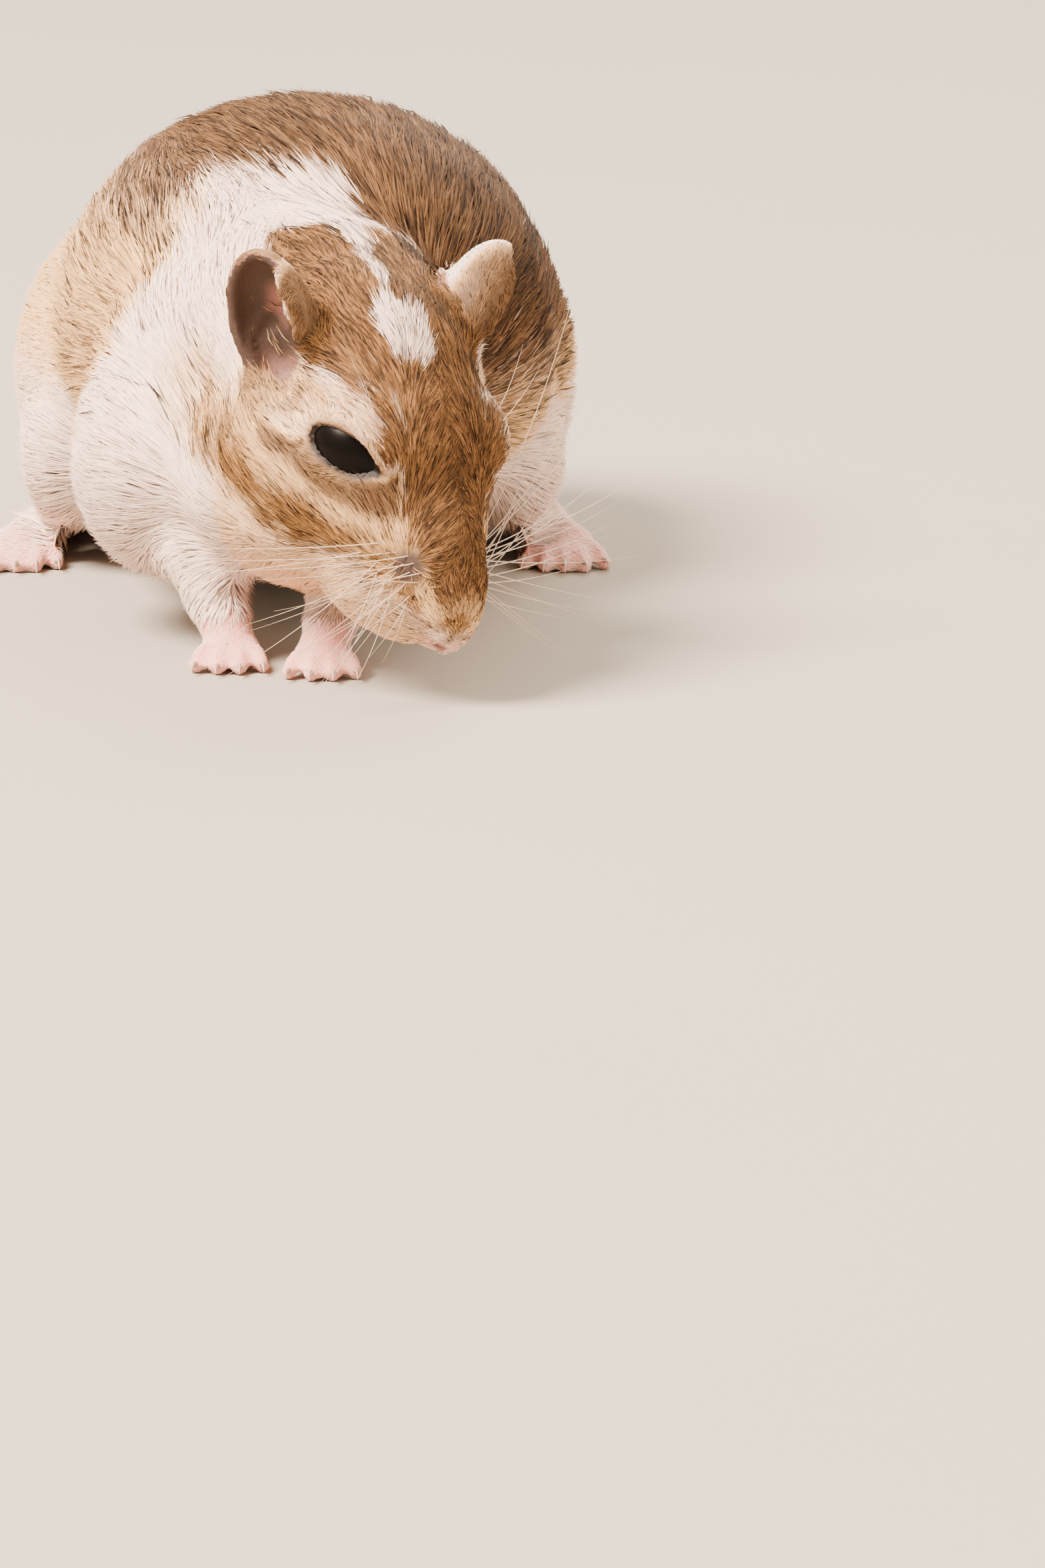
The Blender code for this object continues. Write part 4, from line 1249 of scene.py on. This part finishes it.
def floor_material():
    """Matt painted board: a plain pale ground with the faintest unevenness."""
    made, tree, surface = new_material("matt_pale_board", {"Roughness": 0.85, "Specular IOR Level": 0.2})
    # Rolled paint varies over about 40 mm.
    value = add(tree, "ShaderNodeMapRange", {0: grain(tree, 40), 3: 0.98, 4: 1.02})
    board = add(tree, "ShaderNodeHueSaturation", {"Value": value.outputs[0], "Color": paint("floor_pale")})
    tree.links.new(board.outputs[0], surface)
    return made


def tint(name, description, hex_colour):
    return bpy.props.FloatVectorProperty(
        name=name, description=description, default=linear(hex_colour), subtype="COLOR", min=0, max=1
    )


def metres(name, description, default):
    return bpy.props.FloatProperty(name=name, description=description, default=default, unit="LENGTH")


class GerbilColours(bpy.types.PropertyGroup):
    """Colours of the coat, the bare skin and the floor."""

    head_brown: tint("Head brown", "Golden brown of the head", "#735031")
    cheek_gold: tint("Cheek gold", "Orange gold of the cheek stripe", "#855a2e")
    back_brown: tint("Back brown", "Duller brown of the back", "#60432a")
    white: tint("White", "White of the collar, chest and forehead spot", "#f8dccf")
    cream: tint("Cream", "Cream of the haunches", "#f0bd84")
    tan: tint("Tan", "Tan of the muzzle and below the eyes", "#93704f")
    tick_brown: tint("Tick brown", "Dark tips of the ticked hairs", "#1a0f08")
    root_grey: tint("Root grey", "Slate roots of the brown hairs", "#4d4038")
    skin_pink: tint("Skin pink", "Pale pink of the toes and the ears", "#f3b0a4")
    skin_deep: tint("Deep pink", "Redder pink between the toes and in the ear", "#dc8c7e")
    ear_taupe: tint("Ear taupe", "Dark skin near the ear's tip", "#46342c")
    # Also used as painted shade in the nostrils and ear canals.
    lid_dark_and_hollow_shade: tint("Lid dark", "Dark rim of lids and nostrils", "#1d110c")
    eye_black: tint("Eye black", "Nearly black eye", "#030201")
    claw_horn: tint("Claw horn", "Milky beige of the claws", "#d8bfae")
    whisker: tint("Whisker", "Pale whisker hair", "#d9c3ab")
    floor_pale: tint("Floor", "Pale floor", "#a89e92")


class GerbilSizes(bpy.types.PropertyGroup):
    """Sizes of the small parts and of the stage."""

    lid_thickness: metres("Lid edge", "Thickness of the lid's bare edge", 0.3 * MM)
    whisker_thickness: metres("Whisker thickness", "Thickness of a whisker at its root", 0.11 * MM)
    whisker_length: metres("Whisker length", "Length of the longest whisker", 21 * MM)
    floor_size: metres("Floor size", "Side of the square floor", 5.0)
    camera_distance: metres("Camera distance", "From the head to the camera", 0.4876)
    key_power: bpy.props.FloatProperty(
        name="Key light", description="Power of the large soft light", default=106.0, unit="POWER"
    )


class GERBIL_OT_skin(bpy.types.Operator):
    """Make one smooth skin in place of the flesh solids"""

    bl_idname = "gerbil.skin"
    bl_label = "Skin"

    def execute(self, context):
        mesh = skin_mesh()
        mesh.name = "skin"
        body = Body(mesh)
        Body.skin = body
        set_colours(mesh, "marks", body.marks[:, :4])
        set_colours(mesh, "bare", body.bare)
        streak = mesh.attributes.new("streak", "FLOAT", "POINT")
        streak.data.foreach_set("value", body.streaks().astype(np.float32))
        mesh.polygons.foreach_set("use_smooth", np.ones(len(mesh.polygons), bool))
        mesh.materials.clear()
        mesh.materials.append(skin_material())
        skin = placed("skin", mesh)
        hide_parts(*FLESH)
        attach(skin, "root")
        print("skin", len(mesh.polygons), "faces")
        return {"FINISHED"}


class GERBIL_OT_eyes(bpy.types.Operator):
    """Make both eyeballs and the dark edges of their lids"""

    bl_idname = "gerbil.eyes"
    bl_label = "Eyes"

    def execute(self, context):
        glossy, edge = eye_material(), lid_material()
        thick = context.scene.gerbil_sizes.lid_thickness
        for name, side in SIDES.items():
            at = eye_frame(side)
            bm = bmesh.new()
            shape = at @ Matrix.Diagonal((EYE_LONG, 1, 1, 1))
            bmesh.ops.create_uvsphere(bm, u_segments=72, v_segments=48, radius=EYE_RADIUS, matrix=shape)
            for face in bm.faces:
                face.smooth = True
            mesh = bpy.data.meshes.new("eyeball_" + name)
            bm.to_mesh(mesh)
            bm.free()
            mesh.materials.append(glossy)
            ball = placed("eyeball_" + name, mesh)
            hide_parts("eye_" + name)
            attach(ball, "root")
            rim = strands("lid_edge_" + name, [lid_path(side, at, thick / 2)], 2, True)
            rim.data.materials.append(edge)
            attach(rim, "root")
        return {"FINISHED"}


def lid_path(side, at, radius):
    """Points round the eye's opening, on the lid's edge."""
    path = []
    for angle in np.linspace(0, math.tau, 72, endpoint=False):
        x = SLIT_MIDDLE[0] - math.cos(angle) * (SLIT_HALF_LENGTH + 0.1)
        rise = SLIT_RISES[0] if math.sin(angle) > 0 else -SLIT_RISES[1]
        y = SLIT_MIDDLE[1] + float(slit_shape(-math.cos(angle))) * rise * 1.06
        share = 1 - (x / EYE_RADII[0]) ** 2 - (y / EYE_RADII[1]) ** 2
        z = EYE_RADII[2] * math.sqrt(max(share, 0.02))
        path.append((at @ (Vector((x, -side * y, z)) * 1.02 * MM), radius))
    return path


def claw_path(name):
    """The curved line of a claw, with its radii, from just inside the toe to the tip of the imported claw."""
    places = np.array(sorted({tuple(v.co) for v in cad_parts[name].data.vertices}))
    centre = places.mean(0)
    axis = np.linalg.svd(places - centre)[2][0]
    ahead = (places - centre) @ axis > 0
    ends = sorted((places[ahead], places[~ahead]), key=lambda ring: ring.std(0).sum())
    tip, base = ends[0].mean(0), ends[1].mean(0)
    thick = np.linalg.norm(ends[1] - base, axis=1).mean()
    run = tip - base
    path = []
    for t in np.linspace(-0.15, 1, 9):
        arch = 0.22 * np.linalg.norm(run) * math.sin(math.pi * min(max(t, 0), 1))
        radius = thick * 0.85 * max(1 - max(t, 0), 0.04) ** 0.7
        path.append((base + run * t + np.array((0, 0, arch)), radius))
    return path


class GERBIL_OT_claws(bpy.types.Operator):
    """Make the curved claws of all four feet"""

    bl_idname = "gerbil.claws"
    bl_label = "Claws"

    def execute(self, context):
        claws = strands("claws", [claw_path(name) for name in CLAWS], 2)
        claws.data.materials.append(claw_material())
        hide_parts(*CLAWS)
        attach(claws, "root")
        return {"FINISHED"}


# Each side's whiskers fan from one direction to another, in the head's axes: forward, out, up.
FANS = {RIGHT: ((-0.15, 0.9, -0.3), (0.75, 0.3, -0.62)), LEFT: ((-0.6, 0.72, 0.42), (0.6, 0.75, -0.25))}
LONGER = {RIGHT: 1.0, LEFT: 1.35}
# How many whiskers stand in each row of a pad, from the top row down.
ROWS = (5, 5, 5, 5, 3)
BROW_WHISKER_LENGTH, BROW_WHISKER_RADIUS = 6.5, 0.04


class GERBIL_OT_whiskers(bpy.types.Operator):
    """Make the whiskers of both cheeks and the few over the eyes"""

    bl_idname = "gerbil.whiskers"
    bl_label = "Whiskers"

    def execute(self, context):
        sizes = context.scene.gerbil_sizes
        rng = np.random.default_rng(SEED)
        turn = np.array(HEAD_TURN)
        paths = []
        for side, (first, last) in FANS.items():
            for row, count in enumerate(ROWS):
                for place in range(count):
                    spot = np.array(PAD) + (1.7 - 0.95 * place, 0.25 * place, 1.1 - 0.75 * row)
                    spot[1] *= side
                    spot += rng.normal(0, 0.12, 3)
                    t = min(max((row + 0.3 * rng.normal()) / 4.2, 0), 1)
                    aim = np.array(first) * (1 - t) + np.array(last) * t + rng.normal(0, 0.1, 3)
                    aim[1] *= side
                    long = sizes.whisker_length * LONGER[side] * (0.45 + 0.13 * place) * (1 - 0.35 * t)
                    paths.append(whisker_path(spot, turn @ unit(aim), long, sizes.whisker_thickness / 2))
            for number in range(2):
                spot = np.array((0.5 + 1.1 * number, side * 6.6, 5.6))
                aim = turn @ unit(np.array((-0.5 + 0.3 * number, side * 0.5, 0.75)))
                paths.append(whisker_path(spot, aim, BROW_WHISKER_LENGTH * MM, BROW_WHISKER_RADIUS * MM))
        hairs = strands("whiskers", paths)
        hairs.data.materials.append(whisker_material())
        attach(hairs, "root")
        return {"FINISHED"}


def whisker_path(spot, aim, long, radius):
    """A whisker from near this spot on the head: straight out, then back and down, but above the floor."""
    body = Body.skin
    vertex = nearest(body.places, spot)
    start = body.surface.points[vertex] * MM - body.normals[vertex] * 0.3 * MM
    bend = np.array(HEAD_TURN) @ np.array((-0.32, 0.0, -0.12))
    path = []
    for t in np.linspace(0, 1, 12):
        place = start + (aim * t + bend * t * t * 0.6) * long
        place[2] = max(place[2], WHISKER_LOWEST * MM)
        path.append((place, radius * max(1 - t, 0.08) ** 0.8))
    return path


class GERBIL_OT_coat_head(bpy.types.Operator):
    """Grow the fine short coat of the head and the ears"""

    bl_idname = "gerbil.coat_head"
    bl_label = "Head coat"

    def execute(self, context):
        body = Body.skin
        along, sideways, up = body.places.T
        head = body.of("head", "nose", "jaw")
        muzzle = head & (along > 7.5)
        crown = head & ~muzzle & (up > 4.2)
        cheek = head & ~muzzle & ~crown
        grow("coat_muzzle", muzzle, 1)
        grow("coat_crown", crown, 2)
        grow("coat_cheek_right", cheek & (sideways < 0), 3)
        grow("coat_cheek_left", cheek & (sideways >= 0), 4)
        grow("coat_ears", body.of("ear"), 5)
        return {"FINISHED"}


class GERBIL_OT_coat_trunk(bpy.types.Operator):
    """Grow the longer soft coat of the neck, chest, back and rump"""

    bl_idname = "gerbil.coat_trunk"
    bl_label = "Trunk coat"

    def execute(self, context):
        body = Body.skin
        chest, back = body.of("chest", "shoulder"), body.of("back")
        right = body.surface.points[:, 0] < 0
        above = body.surface.points[:, 2] > 18
        grow("coat_neck", body.of("neck"), 6)
        grow("coat_chest_right", chest & right, 7)
        grow("coat_chest_left", chest & ~right, 14)
        grow("coat_back_upper", back & above, 8)
        grow("coat_back_lower", back & ~above, 9)
        grow("coat_rump", body.of("rump"), 10)
        return {"FINISHED"}


class GERBIL_OT_coat_limbs(bpy.types.Operator):
    """Grow the coat of the legs, the feet and the tail"""

    bl_idname = "gerbil.coat_limbs"
    bl_label = "Limb and tail coat"

    def execute(self, context):
        body = Body.skin
        grow("coat_thighs", body.of("thigh"), 11)
        grow("coat_feet", body.of("forearm", "forepaw", "shin", "hind_foot"), 12)
        grow("coat_tail", body.of("tail_base", "tail_middle", "tail_tip"), 13)
        return {"FINISHED"}


# Each light's name, its way from the head in metres, its width, its share of the key's power, and its colour.
LAMPS = (
    ("key", (-0.72, -0.32, 1.05), 0.7, 1.0, "#fff0e0"),
    ("fill", (0.85, -0.55, 0.45), 0.9, 0.1, "#ffeeda"),
    ("rim", (0.25, 0.9, 0.8), 0.7, 0.15, "#fff4e6"),
)
ROOM_LIGHT, ROOM_STRENGTH = "#fdeedd", 1.45


class GERBIL_OT_stage(bpy.types.Operator):
    """Lay the pale floor, set the soft lights and place the camera"""

    bl_idname = "gerbil.stage"
    bl_label = "Stage"

    def execute(self, context):
        sizes = context.scene.gerbil_sizes
        bm = bmesh.new()
        bmesh.ops.create_grid(bm, x_segments=8, y_segments=8, size=sizes.floor_size / 2)
        mesh = bpy.data.meshes.new("floor")
        bm.to_mesh(mesh)
        bm.free()
        mesh.materials.append(floor_material())
        placed("floor", mesh)
        self.light(context.scene, sizes.key_power)
        self.look(context.scene, sizes.camera_distance)
        return {"FINISHED"}

    def light(self, scene, power):
        """Three soft lights round the head, and a softly lit room."""
        for name, away, size, share, colour in LAMPS:
            light = bpy.data.lights.new(name, "AREA")
            light.shape = "DISK"
            light.size, light.energy, light.color = size, power * share, linear(colour)
            lamp = placed(name, light)
            lamp.location = HEAD.translation + Vector(away)
            lamp.rotation_euler = (-Vector(away)).to_track_quat("-Z", "Y").to_euler()
        world = bpy.data.worlds.new("soft_room")
        world.use_nodes = True
        background = world.node_tree.nodes["Background"]
        background.inputs["Color"].default_value = (*linear(ROOM_LIGHT), 1)
        background.inputs["Strength"].default_value = ROOM_STRENGTH
        scene.world = world

    def look(self, scene, distance_away):
        """The camera, in front of the head and a little above it, with the photo's angle and framing."""
        data = bpy.data.cameras.new("camera")
        data.sensor_width = SENSOR
        data.lens = SENSOR * FOCAL_PIXELS / PHOTO_HEIGHT
        data.clip_start, data.clip_end = 0.01, 50
        camera = placed("camera", data)
        camera.location = HEAD.translation + Vector(CAMERA_WAY).normalized() * distance_away
        camera.rotation_euler = (math.pi / 2 - math.radians(CAMERA_TILT), 0, 0)
        scene.camera = camera


PIECES = (
    GERBIL_OT_skin,
    GERBIL_OT_eyes,
    GERBIL_OT_claws,
    GERBIL_OT_whiskers,
    GERBIL_OT_coat_head,
    GERBIL_OT_coat_trunk,
    GERBIL_OT_coat_limbs,
    GERBIL_OT_stage,
)


class GERBIL_PT_pieces(bpy.types.Panel):
    """The gerbil's pieces, in the order they are made"""

    bl_idname = "GERBIL_PT_pieces"
    bl_label = "Gerbil"
    bl_space_type = "VIEW_3D"
    bl_region_type = "UI"
    bl_category = "Gerbil"

    def draw(self, context):
        for piece in PIECES:
            self.layout.operator(piece.bl_idname)
        for group in (context.scene.gerbil_sizes, context.scene.gerbil_colours):
            for name in group.__annotations__:
                self.layout.prop(group, name)


CLASSES = (GerbilColours, GerbilSizes, *PIECES, GERBIL_PT_pieces)


def register():
    for one in CLASSES:
        bpy.utils.register_class(one)
    bpy.types.Scene.gerbil_colours = bpy.props.PointerProperty(type=GerbilColours)
    bpy.types.Scene.gerbil_sizes = bpy.props.PointerProperty(type=GerbilSizes)


def unregister():
    del bpy.types.Scene.gerbil_sizes
    del bpy.types.Scene.gerbil_colours
    for one in reversed(CLASSES):
        bpy.utils.unregister_class(one)


def main():
    register()
    for piece in PIECES:
        group, name = piece.bl_idname.split(".")
        getattr(getattr(bpy.ops, group), name)()


if __name__ == "__main__":
    main()
